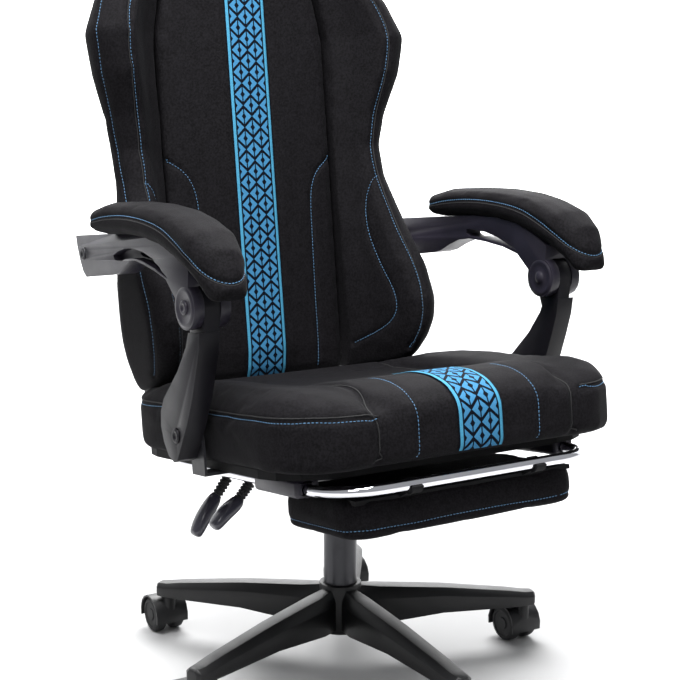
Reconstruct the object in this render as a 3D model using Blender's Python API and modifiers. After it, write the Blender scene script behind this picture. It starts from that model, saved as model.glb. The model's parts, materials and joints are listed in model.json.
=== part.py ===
"""Gaming chair with a reclining back, linked armrests and a pull-out footrest.

Metres, +Z up. The chair faces -Y and the sitter's left is +X. The seat, its mechanism and all that
hangs on it are modelled in the seat frame, which leans back with the seat: x across, y along the
seat towards the back, z square to the seat board, zero on the cushion's underside above the column.
"""

import math

import bmesh
import bpy
from mathutils import Matrix, Vector

# ---- driving dimensions ----
GAP = 0.0003  # between pieces that touch
COLUMN_Y = -0.0310  # the column stands here, so that the chair's box is centred on the origin
SEAT_HEIGHT = 0.357  # seat frame origin above the floor
SEAT_TILT = math.radians(-7.0)

SEAT_HALF_WIDTH, SEAT_FRONT, SEAT_REAR = 0.275, -0.352, 0.215
SEAT_FRONT_CORNER, SEAT_REAR_CORNER = 0.10, 0.13
BOARD_HALF_WIDTH, BOARD_CORNER, BOARD_THICKNESS = 0.255, 0.09, 0.012

HINGE = (0.276, 0.120)  # recline hinge, (y, z) in the seat frame
LINK_REAR = (0.206, 0.291)  # rear pivot of the arm link, on the back frame
SUPPORT_FOOT = (-0.092, 0.041)  # pivot of the arm support, on the seat
ARM_RISE = (LINK_REAR[0] - HINGE[0], LINK_REAR[1] - HINGE[1])
KNUCKLE = (SUPPORT_FOOT[0] + ARM_RISE[0], SUPPORT_FOOT[1] + ARM_RISE[1])  # closes the parallelogram

ARM_INNER, ARM_OUTER = 0.266, 0.318  # faces of the arm link at its knuckle
LINK_REAR_OUTER = 0.300
TONGUE_INNER, TONGUE_OUTER = 0.281, 0.303
SUPPORT_OUTER = 0.310
KNUCKLE_RADIUS = 0.029
PAD_CENTRE, PAD_HALF_WIDTH, PAD_NOSE, NOSE_LENGTH = 0.295, 0.040, -0.2555, 0.068

PANEL_FRONT, PANEL_REAR = 0.222, 0.248  # centre panel of the back
PANEL_LOW, BACK_TOP = 0.070, 0.885
FRAME_TUBE, FRAME_Y, FRAME_X = 0.011, 0.276, 0.176
COVER_FRONT, COVER_REAR, COVER_WALL = 0.2545, 0.305, 0.004
BRACKET_INNER, BRACKET_OUTER = 0.178, 0.184
LUG_INNER, LUG_OUTER = 0.1845, 0.1895

LEG_X, LEG_Z, LEG_RADIUS = 0.211, -0.027, 0.0075
BAR_Y, LEG_REAR, LEG_BEND = -0.333, 0.10, 0.07
RAIL_FRONT, RAIL_REAR, RAIL_LOW, RAIL_HIGH = -0.26, -0.146, -0.0372, -0.0128
FOOT_HALF_WIDTH, FOOT_FRONT, FOOT_REAR = 0.19, -0.318, -0.135

COLUMN_RADIUS, COLUMN_BORE, COLUMN_TOP = 0.025, 0.0146, 0.285
CYLINDER_RADIUS, CYLINDER_LOW, CYLINDER_TOP = 0.014, 0.10, 0.335
ROD_RADIUS = 0.005
STEM_CIRCLE, STEM_RADIUS = 0.297, 0.0055
CASTER_COUNT, CASTER_TRAIL = 5, 0.02
WHEEL_RADIUS, WHEEL_STEPS, AXLE_RADIUS = 0.0275, 16, 0.004

# Half width of the back, front edge of its wings, and the seam between panel and wing, by height.
BACK_WIDTHS = (
    (0.0765, 0.212), (0.09, 0.231), (0.12, 0.243), (0.16, 0.251), (0.25, 0.252), (0.33, 0.243), (0.42, 0.236),
    (0.495, 0.249), (0.56, 0.268), (0.62, 0.275), (0.68, 0.252), (0.74, 0.198), (0.80, 0.168),
    (0.86, 0.15), (BACK_TOP, 0.13),
)
WING_FRONTS = (
    (0.0765, 0.207), (0.083, 0.163), (0.089, 0.128), (0.100, 0.105), (0.125, 0.080), (0.150, 0.068),
    (0.182, 0.065), (0.237, 0.084), (0.312, 0.128), (0.391, 0.166), (0.443, 0.178), (0.493, 0.170),
    (0.56, 0.148), (0.62, 0.14), (0.68, 0.155), (0.74, 0.185), (0.80, 0.203), (BACK_TOP, 0.213),
)
PANEL_WIDTHS = ((0.0765, 0.156), (0.62, 0.156), (0.80, 0.12), (BACK_TOP, 0.09))
CREST_SHARE = 0.62  # the wing's crest lies this far from the seam to the outer side

LEVER_PLANES = (0.05, -0.02)  # height lever, then recline lever
LEVER_PIVOT = (-0.078, -0.045)

PARTS = bpy.data.collections.new("gaming_chair")
CUTTERS = bpy.data.collections.new("cutters")


def clear_scene():
    for obj in list(bpy.data.objects):
        bpy.data.objects.remove(obj, do_unlink=True)
    bpy.context.scene.collection.children.link(PARTS)
    bpy.context.scene.collection.children.link(CUTTERS)


def new_material(name, colour, roughness, metallic=0.0):
    material = bpy.data.materials.new(name)
    material.use_nodes = True
    shader = material.node_tree.nodes["Principled BSDF"]
    shader.inputs["Base Color"].default_value = (*colour, 1.0)
    shader.inputs["Roughness"].default_value = roughness
    shader.inputs["Metallic"].default_value = metallic
    return material


def value_at(table, height):
    """Straight-line reading of a table of (height, value)."""
    if height <= table[0][0]:
        return table[0][1]
    for (low, first), (high, second) in zip(table, table[1:]):
        if height <= high:
            return first + (second - first) * (height - low) / (high - low)
    return table[-1][1]


# ---- frames and pivots ----
def new_empty(name, parent=None, place=(0, 0, 0), rotation=(0, 0, 0)):
    empty = bpy.data.objects.new(name, None)
    empty.empty_display_size = 0.03
    empty.location = place
    empty.rotation_euler = rotation
    empty.parent = parent
    PARTS.objects.link(empty)
    return empty


def place_under(obj, pivot):
    """Parents a piece made in its frame's coordinates to a pivot of that frame."""
    obj.parent = pivot
    if pivot.name.endswith("_axis"):
        obj.location = -pivot.location


def add_part(name, mesh, material, pivot):
    obj = bpy.data.objects.new(name, mesh)
    mesh.materials.clear()
    mesh.materials.append(material)
    PARTS.objects.link(obj)
    place_under(obj, pivot)
    return obj


def combine(obj, mesh, operation):
    """Boolean of a part with a mesh made in the same coordinates."""
    tool = bpy.data.objects.new(f"{obj.name}_{operation.lower()}", mesh)
    tool.hide_render = True
    tool.display_type = "WIRE"
    CUTTERS.objects.link(tool)
    place_under(tool, obj.parent)
    modifier = obj.modifiers.new(operation.title(), "BOOLEAN")
    modifier.operation = operation
    modifier.object = tool


def cut(obj, *meshes):
    for mesh in meshes:
        combine(obj, mesh, "DIFFERENCE")


def join(obj, *meshes):
    for mesh in meshes:
        combine(obj, mesh, "UNION")


# ---- shapes, each returned as a mesh ----
def finish_mesh(bm):
    bmesh.ops.recalc_face_normals(bm, faces=bm.faces)
    mesh = bpy.data.meshes.new("shape")
    bm.to_mesh(mesh)
    bm.free()
    mesh.shade_smooth()
    mesh.set_sharp_from_angle(angle=math.radians(35))
    return mesh


def box(low, high, bevel=0.0, segments=1):
    low, high = Vector(low), Vector(high)
    bm = bmesh.new()
    size = Matrix.Diagonal((*(high - low), 1.0))
    bmesh.ops.create_cube(bm, size=1.0, matrix=Matrix.Translation((low + high) / 2) @ size)
    if bevel:
        bmesh.ops.bevel(bm, geom=bm.edges[:], offset=bevel, segments=segments, profile=0.5, affect="EDGES")
    return finish_mesh(bm)


def bar(start, end, radius, steps=20):
    """A cylinder between two points."""
    start, end = Vector(start), Vector(end)
    turn = (end - start).to_track_quat("Z", "Y").to_matrix().to_4x4()
    bm = bmesh.new()
    bmesh.ops.create_cone(
        bm,
        cap_ends=True,
        segments=steps,
        radius1=radius,
        radius2=radius,
        depth=(end - start).length,
        matrix=Matrix.Translation((start + end) / 2) @ turn,
    )
    return finish_mesh(bm)


def cross_bar(y, z, first, last, radius, steps=12):
    """A cylinder along x."""
    return bar((min(first, last), y, z), (max(first, last), y, z), radius, steps)


def mesh_of_curve(curve, place=Matrix.Identity(4)):
    """The curve as a closed mesh, with its caps welded to its sides."""
    obj = bpy.data.objects.new("curve", curve)
    PARTS.objects.link(obj)
    graph = bpy.context.evaluated_depsgraph_get()
    raw = bpy.data.meshes.new_from_object(obj.evaluated_get(graph))
    bpy.data.objects.remove(obj, do_unlink=True)
    bm = bmesh.new()
    bm.from_mesh(raw)
    bmesh.ops.remove_doubles(bm, verts=bm.verts, dist=1e-6)
    bmesh.ops.transform(bm, matrix=place, verts=bm.verts)
    return finish_mesh(bm)


def new_spline(curve, points, closed):
    spline = curve.splines.new("POLY")
    spline.points.add(len(points) - 1)
    for point, place in zip(spline.points, points):
        point.co = (*place, 1.0)
    spline.use_cyclic_u = closed


def plate(outline, first, last, plane="yz", round_edge=0.0):
    """A flat outline in the yz, xz or xy plane, thick from first to last along the third axis."""
    turns = {
        "yz": Matrix(((0, 0, 1), (1, 0, 0), (0, 1, 0))),
        "xz": Matrix(((1, 0, 0), (0, 0, -1), (0, 1, 0))),
        "xy": Matrix.Identity(3),
    }
    turn = turns[plane].to_4x4()
    normal = turn.to_3x3() @ Vector((0, 0, 1))
    middle = Vector([abs(part) for part in normal]) * (first + last) / 2
    curve = bpy.data.curves.new("outline", "CURVE")
    curve.dimensions = "2D"
    curve.fill_mode = "BOTH"
    curve.extrude = abs(last - first) / 2 - round_edge
    curve.bevel_depth = round_edge
    curve.bevel_resolution = 1
    curve.offset = -round_edge
    new_spline(curve, [(a, b, 0.0) for a, b in outline], True)
    return mesh_of_curve(curve, Matrix.Translation(middle) @ turn)


def pipe(points, radius, detail=3):
    curve = bpy.data.curves.new("pipe", "CURVE")
    curve.dimensions = "3D"
    curve.bevel_depth = radius
    curve.bevel_resolution = detail
    curve.use_fill_caps = True
    new_spline(curve, points, False)
    return mesh_of_curve(curve)


def rounded_path(corners, radius, steps=5):
    """The corner points joined by straight runs, with an arc of this radius at each inner corner."""
    points = [Vector(corners[0])]
    for before, corner, after in zip(corners, corners[1:], corners[2:]):
        before, corner, after = Vector(before), Vector(corner), Vector(after)
        back, ahead = (before - corner).normalized(), (after - corner).normalized()
        half = back.angle(ahead) / 2
        centre = corner + (back + ahead).normalized() * radius / math.sin(half)
        start = (corner + back * radius / math.tan(half) - centre).normalized()
        end = (corner + ahead * radius / math.tan(half) - centre).normalized()
        for step in range(steps + 1):
            points.append(centre + start.slerp(end, step / steps) * radius)
    points.append(Vector(corners[-1]))
    return points


def arc(centre, radius, first, last, steps):
    """Points of an arc in a plane, angles in degrees."""
    angles = [math.radians(first + (last - first) * step / steps) for step in range(steps + 1)]
    return [(centre[0] + radius * math.cos(a), centre[1] + radius * math.sin(a)) for a in angles]


def rounded_rectangle(low, high, radii, steps=4):
    """Corner radii go round from the low-x, low-y corner against the clock."""
    (x0, y0), (x1, y1) = low, high
    centres = (
        (x0 + radii[0], y0 + radii[0], 180),
        (x1 - radii[1], y0 + radii[1], 270),
        (x1 - radii[2], y1 - radii[2], 0),
        (x0 + radii[3], y1 - radii[3], 90),
    )
    points = []
    for (x, y, angle), radius in zip(centres, radii):
        points += arc((x, y), radius, angle, angle + 90, steps)
    return points


def loft(rings):
    """Closed body through rings of equally many points."""
    bm = bmesh.new()
    rows = [[bm.verts.new(point) for point in ring] for ring in rings]
    count = len(rows[0])
    for near, far in zip(rows, rows[1:]):
        for i in range(count):
            j = (i + 1) % count
            bm.faces.new((near[i], near[j], far[j], far[i]))
    bm.faces.new(rows[0])
    bm.faces.new(rows[-1])
    return finish_mesh(bm)


def turned_part(name, profile, steps, material, pivot, place=(0, 0, 0), direction=(0, 0, 1), roll=0.0):
    """A (radius, height) profile, running down its outer side, turned about an axis along direction."""
    mesh = bpy.data.meshes.new(name)
    closed = profile[0][0] > 0 and profile[-1][0] > 0
    count = len(profile)
    edges = [(i, (i + 1) % count) for i in range(count if closed else count - 1)]
    mesh.from_pydata([(radius, 0.0, height) for radius, height in profile], edges, [])
    obj = add_part(name, mesh, material, pivot)
    obj.location += Vector(place)
    turn = Vector(direction).to_track_quat("Z", "X").to_matrix()
    obj.rotation_euler = (turn @ Matrix.Rotation(roll, 3, "Z")).to_euler()
    screw = obj.modifiers.new("Turn", "SCREW")
    screw.steps = screw.render_steps = steps
    screw.use_merge_vertices = True
    screw.merge_threshold = 0.00001
    screw.use_smooth_shade = True
    return obj


# ---- base, column and casters ----
def build_base(root, nylon, steel):
    hub_low, hub_high, hub_radius, hub_bore = 0.05, 0.125, 0.032, COLUMN_RADIUS + GAP
    tip_low, tip_high, tip_radius = 0.0640, 0.0845, 0.315
    base = add_part("star_base", bar((0, 0, hub_low), (0, 0, hub_high), hub_radius, 20), nylon, root)
    for k in range(CASTER_COUNT):
        turn = Matrix.Rotation(caster_angle(k), 4, "Z")
        rings = []
        sections = (
            (0.0285, 0.0155, 0.057, 0.119),
            (0.060, 0.0215, 0.0585, 0.115),
            (0.16, 0.0205, 0.0665, 0.105),
            (0.27, 0.0185, tip_low, 0.0895),
            (STEM_CIRCLE, 0.0175, tip_low, tip_high),
            (tip_radius - 0.004, 0.0145, tip_low, tip_high - 0.001),
            (tip_radius, 0.009, tip_low + 0.002, tip_high - 0.003),
        )
        for radius, half, low, high in sections:
            ridge = 0.3 * (high - low)
            ring = (
                (radius, -half, low),
                (radius, half, low),
                (radius, half, high - ridge),
                (radius, half * 0.55, high),
                (radius, -half * 0.55, high),
                (radius, -half, high - ridge),
            )
            rings.append([turn @ Vector(point) for point in ring])
        join(base, loft(rings))
        stem = turn @ Vector((STEM_CIRCLE, 0, 0))
        cut(base, bar((stem.x, stem.y, 0.05), (stem.x, stem.y, 0.0805), STEM_RADIUS + GAP, 10))
    cut(base, bar((0, 0, 0.04), (0, 0, 0.14), hub_bore, 20))

    floor, inner = 0.055, ROD_RADIUS + GAP
    profile = [
        (COLUMN_RADIUS, COLUMN_TOP),
        (COLUMN_RADIUS, floor),
        (inner, floor),
        (inner, floor + 0.01),
        (COLUMN_BORE, floor + 0.01),
        (COLUMN_BORE, COLUMN_TOP),
    ]
    turned_part("gas_column", profile, 20, steel, root)


def build_lift(root, steel):
    swivel = new_empty("swivel_axis", root)
    flange_low, flange_high, flange_radius, rod_top = 0.0655, 0.072, 0.012, 0.30
    profile = [
        (0, rod_top),
        (ROD_RADIUS, rod_top),
        (ROD_RADIUS, flange_high),
        (flange_radius, flange_high),
        (flange_radius, flange_low),
        (ROD_RADIUS, flange_low),
        (ROD_RADIUS, 0.053),
        (0, 0.053),
    ]
    turned_part("piston_rod", profile, 12, steel, swivel)
    inner, roof = ROD_RADIUS + 2 * GAP, rod_top + 0.03 - 0.002
    profile = [
        (0, CYLINDER_TOP),
        (CYLINDER_RADIUS, CYLINDER_TOP),
        (CYLINDER_RADIUS, CYLINDER_LOW),
        (inner, CYLINDER_LOW),
        (inner, roof),
        (0, roof),
    ]
    turned_part("gas_cylinder", profile, 20, steel, swivel)


def caster_angle(k):
    return math.radians(-90 + 360 / CASTER_COUNT * k)


def build_caster(k, root, nylon, rubber):
    angle = caster_angle(k)
    x, y = STEM_CIRCLE * math.cos(angle), STEM_CIRCLE * math.sin(angle)
    swivel = new_empty(f"caster_{k + 1}_swivel_axis", root, (x, y, 0))
    axle_y, axle_z = y + CASTER_TRAIL, WHEEL_RADIUS
    guard_inner, guard_outer, guard_half = 0.0295, 0.0325, 0.027
    web_half, boss_radius, boss_top = 0.0050, 0.0105, 0.0632
    centre = (axle_y, axle_z)
    guard = arc(centre, guard_outer, -15, 195, 9) + arc(centre, guard_inner, 195, -15, 9)
    hood = add_part(f"caster_{k + 1}_hood", plate(guard, x - guard_half, x + guard_half), nylon, swivel)
    web = arc(centre, 0.031, -15, 195, 9)
    join(
        hood,
        plate(web, x - web_half, x + web_half),
        bar((x, y, 0.034), (x, y, boss_top), boss_radius, 12),
        bar((x, y, 0.05), (x, y, 0.0800), STEM_RADIUS, 10),
        cross_bar(axle_y, axle_z, x - 0.0243, x + 0.0243, AXLE_RADIUS, 10),
    )
    spin = new_empty(f"caster_{k + 1}_wheels_axis", root, (x, axle_y, axle_z))
    inner, outer = 0.0058, 0.0250
    for side, label in ((1, "left"), (-1, "right")):
        edge = WHEEL_RADIUS / math.cos(math.pi / WHEEL_STEPS)
        profile = [
            (edge - 0.003, outer - inner),
            (edge, outer - inner - 0.003),
            (edge, 0.0),
            (AXLE_RADIUS + 0.0005, 0.0),
            (AXLE_RADIUS + 0.0005, outer - inner),
        ]
        turned_part(
            f"caster_{k + 1}_wheel_{label}",
            profile,
            WHEEL_STEPS,
            rubber,
            spin,
            (x + side * inner, axle_y, axle_z),
            (side, 0, 0),
            math.pi / WHEEL_STEPS,
        )
        sweep = bar((x + side * (inner - 0.0003), axle_y, axle_z), (x + side * 0.03, axle_y, axle_z), 0.0288, 16)
        trim_boss(hood, sweep, x, side, axle_y, axle_z)


def trim_boss(hood, sweep, x, side, axle_y, axle_z):
    """Cuts the wheel's sweep out of the hood's boss, and leaves the axle through it."""
    cut(hood, sweep)
    join(hood, cross_bar(axle_y, axle_z, x, x + side * 0.0243, AXLE_RADIUS, 10))


# ---- mechanism, levers and footrest ----
def build_mechanism(seat, steel):
    half_x, half_y, low, high = 0.085, 0.11, -0.060, -0.0170
    housing = box((-half_x, -half_y, low), (half_x, half_y, high), 0.008, 2)
    mechanism = add_part("tilt_mechanism", housing, steel, seat)
    join(mechanism, box((-0.12, -0.12, -0.0180), (0.12, 0.12, -0.0128)))
    place = seat.matrix_local.inverted()
    hub = bar((0, 0, 0.290), (0, 0, 0.330), 0.024, 24)
    bore = bar((0, 0, 0.27), (0, 0, CYLINDER_TOP + 0.001), CYLINDER_RADIUS + GAP, 24)
    for mesh in (hub, bore):
        mesh.transform(place)
    join(mechanism, hub)
    cut(mechanism, bore)
    pocket_x, pocket_low, pocket_high = (-0.095, -0.064), -0.0585, -0.030
    for y in LEVER_PLANES:
        cut(mechanism, box((pocket_x[0], y - 0.006, pocket_low), (pocket_x[1], y + 0.006, pocket_high)))




def build_lever(name, y, shoulder, sleeve_end, tip, seat, steel, rubber, plastic):
    """A bent rod with a ribbed sleeve and a paddle grip, all in the plane of this y."""
    axis = new_empty(f"{name}_axis", seat, (LEVER_PIVOT[0], y, LEVER_PIVOT[1]))
    top, low, end = (Vector((p[0], y, p[1])) for p in (shoulder, sleeve_end, tip))
    along = (low - top).normalized()
    bend = top - along * 0.012
    rod_radius, sleeve_radius = 0.004, 0.0085
    start = Vector((LEVER_PIVOT[0] + 0.010, y, LEVER_PIVOT[1]))
    path = rounded_path([start, bend, top + along * 0.02], 0.009, 4)
    add_part(f"{name}_rod", pipe(path, rod_radius, 2), steel, axis)
    length = (low - top).length
    ribs = 3
    profile = []
    for k in range(ribs):
        height = length * (1 - k / ribs)
        profile += [(sleeve_radius, height), (sleeve_radius, height - 0.6 * length / ribs)]
        profile += [(sleeve_radius - 0.002, height - 0.6 * length / ribs - 0.0006)]
        profile += [(sleeve_radius - 0.002, height - length / ribs + 0.0006)]
    profile[-1] = (sleeve_radius - 0.002, 0.0)
    socket = rod_radius + GAP
    profile += [(0, 0.0)]
    profile.insert(0, (0, length))
    sleeve = turned_part(f"{name}_sleeve", profile, 10, rubber, axis, low, -along)
    cut(sleeve, bar(top - along * 0.01, top + along * 0.0205, socket, 10))
    across = Vector((along.z, 0, -along.x))
    lean = (end - low).normalized()
    side = Vector((0, 1, 0))
    rings = []
    # share of the grip's length, half width, half thickness
    stations = (
        (0.0005, 0.0070, 0.0065),
        (0.25, 0.0105, 0.0085),
        (0.70, 0.0115, 0.0075),
        (0.92, 0.0095, 0.0060),
        (1.00, 0.0060, 0.0035),
    )
    for share, half_y, half_t in stations:
        centre = low + lean * ((end - low).length * share) + lean * GAP
        ring = []
        for a in range(10):
            turn = 2 * math.pi * a / 10
            ring.append(centre + side * half_y * math.cos(turn) + across * half_t * math.sin(turn))
        rings.append(ring)
    add_part(f"{name}_grip", loft(rings), plastic, axis)


def build_footrest(seat, chrome, steel, wood, fabric):
    slide = new_empty("footrest_slide_axis", seat, (0, BAR_Y, LEG_Z))
    bar_z = LEG_Z
    corners = [
        (-LEG_X, LEG_REAR, bar_z),
        (-LEG_X, BAR_Y, bar_z),
        (LEG_X, BAR_Y, bar_z),
        (LEG_X, LEG_REAR, bar_z),
    ]
    add_part("footrest_frame", pipe(rounded_path(corners, LEG_BEND, 7), LEG_RADIUS, 4), chrome, slide)
    for side, label in ((1, "left"), (-1, "right")):
        inner, outer = sorted((side * 0.193, side * 0.229))
        rail = add_part(
            f"footrest_rail_{label}",
            box((inner, RAIL_FRONT, RAIL_LOW), (outer, RAIL_REAR, RAIL_HIGH), 0.005, 2),
            steel,
            seat,
        )
        cut(rail, bar((side * LEG_X, -0.30, bar_z), (side * LEG_X, -0.08, bar_z), LEG_RADIUS + 0.0005, 16))

    flip = new_empty("footrest_flip_axis", seat, (0, BAR_Y, bar_z))
    board_low, board_high = -0.0475, -0.0415
    board = add_part(
        "footrest_board",
        box((-0.175, -0.312, board_low), (0.175, FOOT_REAR - 0.01, board_high)),
        wood,
        flip,
    )
    for x in (-0.10, 0.10):
        lug = arc((BAR_Y, bar_z), 0.012, 190, 290, 6)
        lug += [(BAR_Y + 0.024, board_low + 0.001), (BAR_Y + 0.030, board_low + 0.001)]
        lug += [(BAR_Y + 0.030, board_high)] + arc((BAR_Y, bar_z), 0.012, 20, 40, 1)
        join(board, plate(lug, x - 0.008, x + 0.008))
        cut(board, cross_bar(BAR_Y, bar_z, x - 0.02, x + 0.02, LEG_RADIUS + 0.0006, 16))
    outline = rounded_rectangle((-FOOT_HALF_WIDTH, FOOT_FRONT), (FOOT_HALF_WIDTH, FOOT_REAR), (0.035,) * 4)
    add_part("footrest_pad", plate(outline, -0.092, board_low - 0.0005, "xy", 0.008), fabric, flip)


# ---- seat ----
def seat_half_width(y):
    """Half width of the cushion's plan, round at its corners."""
    for edge, radius, way in ((SEAT_FRONT, SEAT_FRONT_CORNER, 1), (SEAT_REAR, SEAT_REAR_CORNER, -1)):
        depth = (y - edge) * way
        if depth < radius:
            return SEAT_HALF_WIDTH - radius + math.sqrt(max(radius**2 - (radius - depth) ** 2, 0.0))
    return SEAT_HALF_WIDTH


def build_seat(seat, fabric, wood, steel):
    # y, height of the centre, of the bolsters, and of the side seam
    stations = (
        (SEAT_FRONT, 0.058, 0.058, 0.045, 0.012),
        (SEAT_FRONT + 0.006, 0.076, 0.074, 0.062, 0.003),
        (-0.325, 0.094, 0.090, 0.068, 0.0),
        (-0.290, 0.105, 0.101, 0.070, 0.0),
        (-0.255, 0.1075, 0.105, 0.070, 0.0),
        (-0.200, 0.100, 0.104, 0.070, 0.0),
        (-0.100, 0.080, 0.101, 0.070, 0.0),
        (0.0, 0.074, 0.100, 0.070, 0.0),
        (0.08, 0.076, 0.094, 0.070, 0.0),
        (0.115, 0.079, 0.087, 0.069, 0.0),
        (0.15, 0.0805, 0.0812, 0.068, 0.0),
        (SEAT_REAR - 0.030, 0.0775, 0.0772, 0.066, 0.0),
        (SEAT_REAR - 0.012, 0.0740, 0.0725, 0.063, 0.001),
        (SEAT_REAR, 0.064, 0.061, 0.050, 0.008),
    )
    rings = []
    for y, centre, bolster, seam, low in stations:
        half = seat_half_width(min(max(y, SEAT_FRONT + 0.0015), SEAT_REAR - 0.002))
        right = [
            (half - 0.006, low),
            (half, low + 0.008),
            (half, seam),
            (half - 0.018, seam + 0.75 * (bolster - seam)),
            (half - 0.045, bolster),
            (half * 0.64, bolster - 0.006),
            (half * 0.56, min(centre, bolster) + 0.002),
        ]
        ring = [(x, y, z) for x, z in right] + [(0, y, centre)]
        ring += [(-x, y, z) for x, z in reversed(right)]
        rings.append(ring)
    add_part("seat_cushion", loft(rings), fabric, seat)
    board = rounded_rectangle((-BOARD_HALF_WIDTH, -0.30), (BOARD_HALF_WIDTH, 0.19), (BOARD_CORNER,) * 4)
    add_part("seat_board", plate(board, -BOARD_THICKNESS, -GAP, "xy"), wood, seat)

    y, z = HINGE
    for side, label in ((1, "left"), (-1, "right")):
        outline = [(0.08, -0.035), (0.24, -0.035), (0.292, 0.018), (y + 0.014, z)]
        outline += arc((y, z), 0.014, 15, 165, 6)
        outline += [(y - 0.014, z), (0.258, 0.06), (0.250, 0.02), (0.225, -0.0130), (0.08, -0.0130)]
        inner, outer = side * BRACKET_INNER, side * BRACKET_OUTER
        bracket = add_part(f"seat_bracket_{label}", plate(outline, inner, outer), steel, seat)
        cut(bracket, cross_bar(y, z, side * 0.17, side * 0.19, 0.0053))
        headed_pin(f"recline_pin_{label}", HINGE, 0.005, 0.009, (0.1735, 0.1775, 0.190, 0.194), side, steel, seat)

        foot_y, foot_z = SUPPORT_FOOT
        upright = plate(
            [(foot_y - 0.016, -0.0165), (foot_y + 0.022, -0.0165), (foot_y + 0.022, 0.02)]
            + arc((foot_y, foot_z), 0.014, 0, 180, 6)
            + [(foot_y - 0.016, 0.02)],
            side * 0.2765,
            side * 0.2800,
        )
        bracket = add_part(f"arm_bracket_{label}", upright, steel, seat)
        low, high = sorted((side * 0.150, side * 0.279))
        join(bracket, box((low, foot_y - 0.016, -0.0165), (high, foot_y + 0.022, -0.0128)))
        cut(bracket, cross_bar(foot_y, foot_z, side * 0.26, side * 0.29, 0.0053))


def headed_pin(name, place, radius, head, ends, side, material, pivot):
    """A pin along x: inner head from ends[0] to ends[1], shaft, outer head from ends[2] to ends[3]."""
    y, z = place
    inner, shoulder, outer, tip = ends
    profile = [
        (0, tip),
        (head, tip),
        (head, outer),
        (radius, outer),
        (radius, shoulder),
        (head if inner < shoulder else radius, shoulder),
        (head if inner < shoulder else radius, inner),
        (0, inner),
    ]
    if inner == shoulder:
        profile = profile[:5] + [(0, inner)]
    turned_part(name, profile, 12, material, pivot, (0, y, z), (side, 0, 0))


# ---- back ----
def build_back(seat, fabric, steel, plastic):
    back = new_empty("recline_axis", seat, (0, *HINGE))
    heights = [0.09, 0.35, 0.62, 0.71, 0.80, 0.86]
    half = [(value_at(PANEL_WIDTHS, z) - 0.004, z) for z in heights]
    top = value_at(PANEL_WIDTHS, BACK_TOP) - 0.004
    outline = [(half[0][0] - 0.004, PANEL_LOW)] + half + [(top, BACK_TOP - 0.008), (top - 0.02, BACK_TOP)]
    outline = outline + [(-x, z) for x, z in reversed(outline)]
    panel = plate(outline, PANEL_FRONT, PANEL_REAR, "xz", 0.004)
    add_part("back_cushion", panel, fabric, back)

    for side, label in ((1, "left"), (-1, "right")):
        add_part(f"back_wing_{label}", loft(wing_rings(side)), fabric, back)

    build_cover(back, plastic)
    build_back_frame(back, steel)


def rear_tuck(z):
    """How far the back's rear is narrower than its widest section."""
    return min(0.040, 0.40 * (value_at(BACK_WIDTHS, z) - value_at(PANEL_WIDTHS, z)))


def wing_rings(side):
    rings = []
    for z, front in WING_FRONTS:
        outer = value_at(BACK_WIDTHS, z)
        seam = value_at(PANEL_WIDTHS, z)
        tuck = rear_tuck(z)
        crest = seam + CREST_SHARE * (outer - seam)
        rear = COVER_FRONT - 0.0025
        depth = PANEL_FRONT - front
        shoulder = min(front + 0.036, rear - 0.02)
        turn = max(shoulder + 0.004, 0.198)
        section = (
            (seam, rear),
            (seam, PANEL_FRONT + 0.001),
            (seam + 0.45 * (crest - seam), PANEL_FRONT - 0.35 * depth),
            (seam + 0.85 * (crest - seam), PANEL_FRONT - 0.88 * depth),
            (crest, front),
            (crest + 0.45 * (outer - crest), front + 0.004),
            (crest + 0.85 * (outer - crest), front + 0.016),
            (outer, shoulder),
            (outer, turn),
            (outer - 0.15 * tuck, turn + 0.35 * (rear - turn)),
            (outer - 0.5 * tuck, turn + 0.75 * (rear - turn)),
            (outer - tuck, rear),
        )
        rings.append([(side * x, y, z) for x, y in section])
    return rings


def build_cover(back, plastic):
    """The rear shell of the back: a tray open to the front and at its foot."""
    heights = (0.10, 0.16, 0.26, 0.34, 0.42, 0.50, 0.56, 0.62, 0.68, 0.74, 0.80, 0.85)
    stations = [(z, value_at(BACK_WIDTHS, z) - rear_tuck(z)) for z in heights]
    stations.append((BACK_TOP - 0.006, 0.112))
    bm = bmesh.new()
    rows = []
    for z, half in stations:
        side = [(half, COVER_FRONT), (half - 0.005, 0.276), (half - 0.018, 0.292), (half - 0.045, 0.300)]
        row = side + [(0, COVER_REAR)] + [(-x, y) for x, y in reversed(side)]
        rows.append([bm.verts.new((x, y, z)) for x, y in row])
    for low, high in zip(rows, rows[1:]):
        for i in range(len(low) - 1):
            bm.faces.new((low[i], low[i + 1], high[i + 1], high[i]))
    bm.faces.new(rows[-1])
    cover = add_part("back_cover", finish_mesh(bm), plastic, back)
    shell = cover.modifiers.new("Shell", "SOLIDIFY")
    shell.thickness = COVER_WALL
    shell.offset = -1.0
    shell.use_even_offset = True
    for side in (1, -1):
        low, high = sorted((side * 0.170, side * 0.199))
        cut(cover, box((low, 0.24, 0.08), (high, 0.32, 0.166)))
        low, high = sorted((side * 0.183, side * 0.27))
        cut(cover, box((low, 0.24, 0.268), (high, 0.292, 0.314)))


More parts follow.
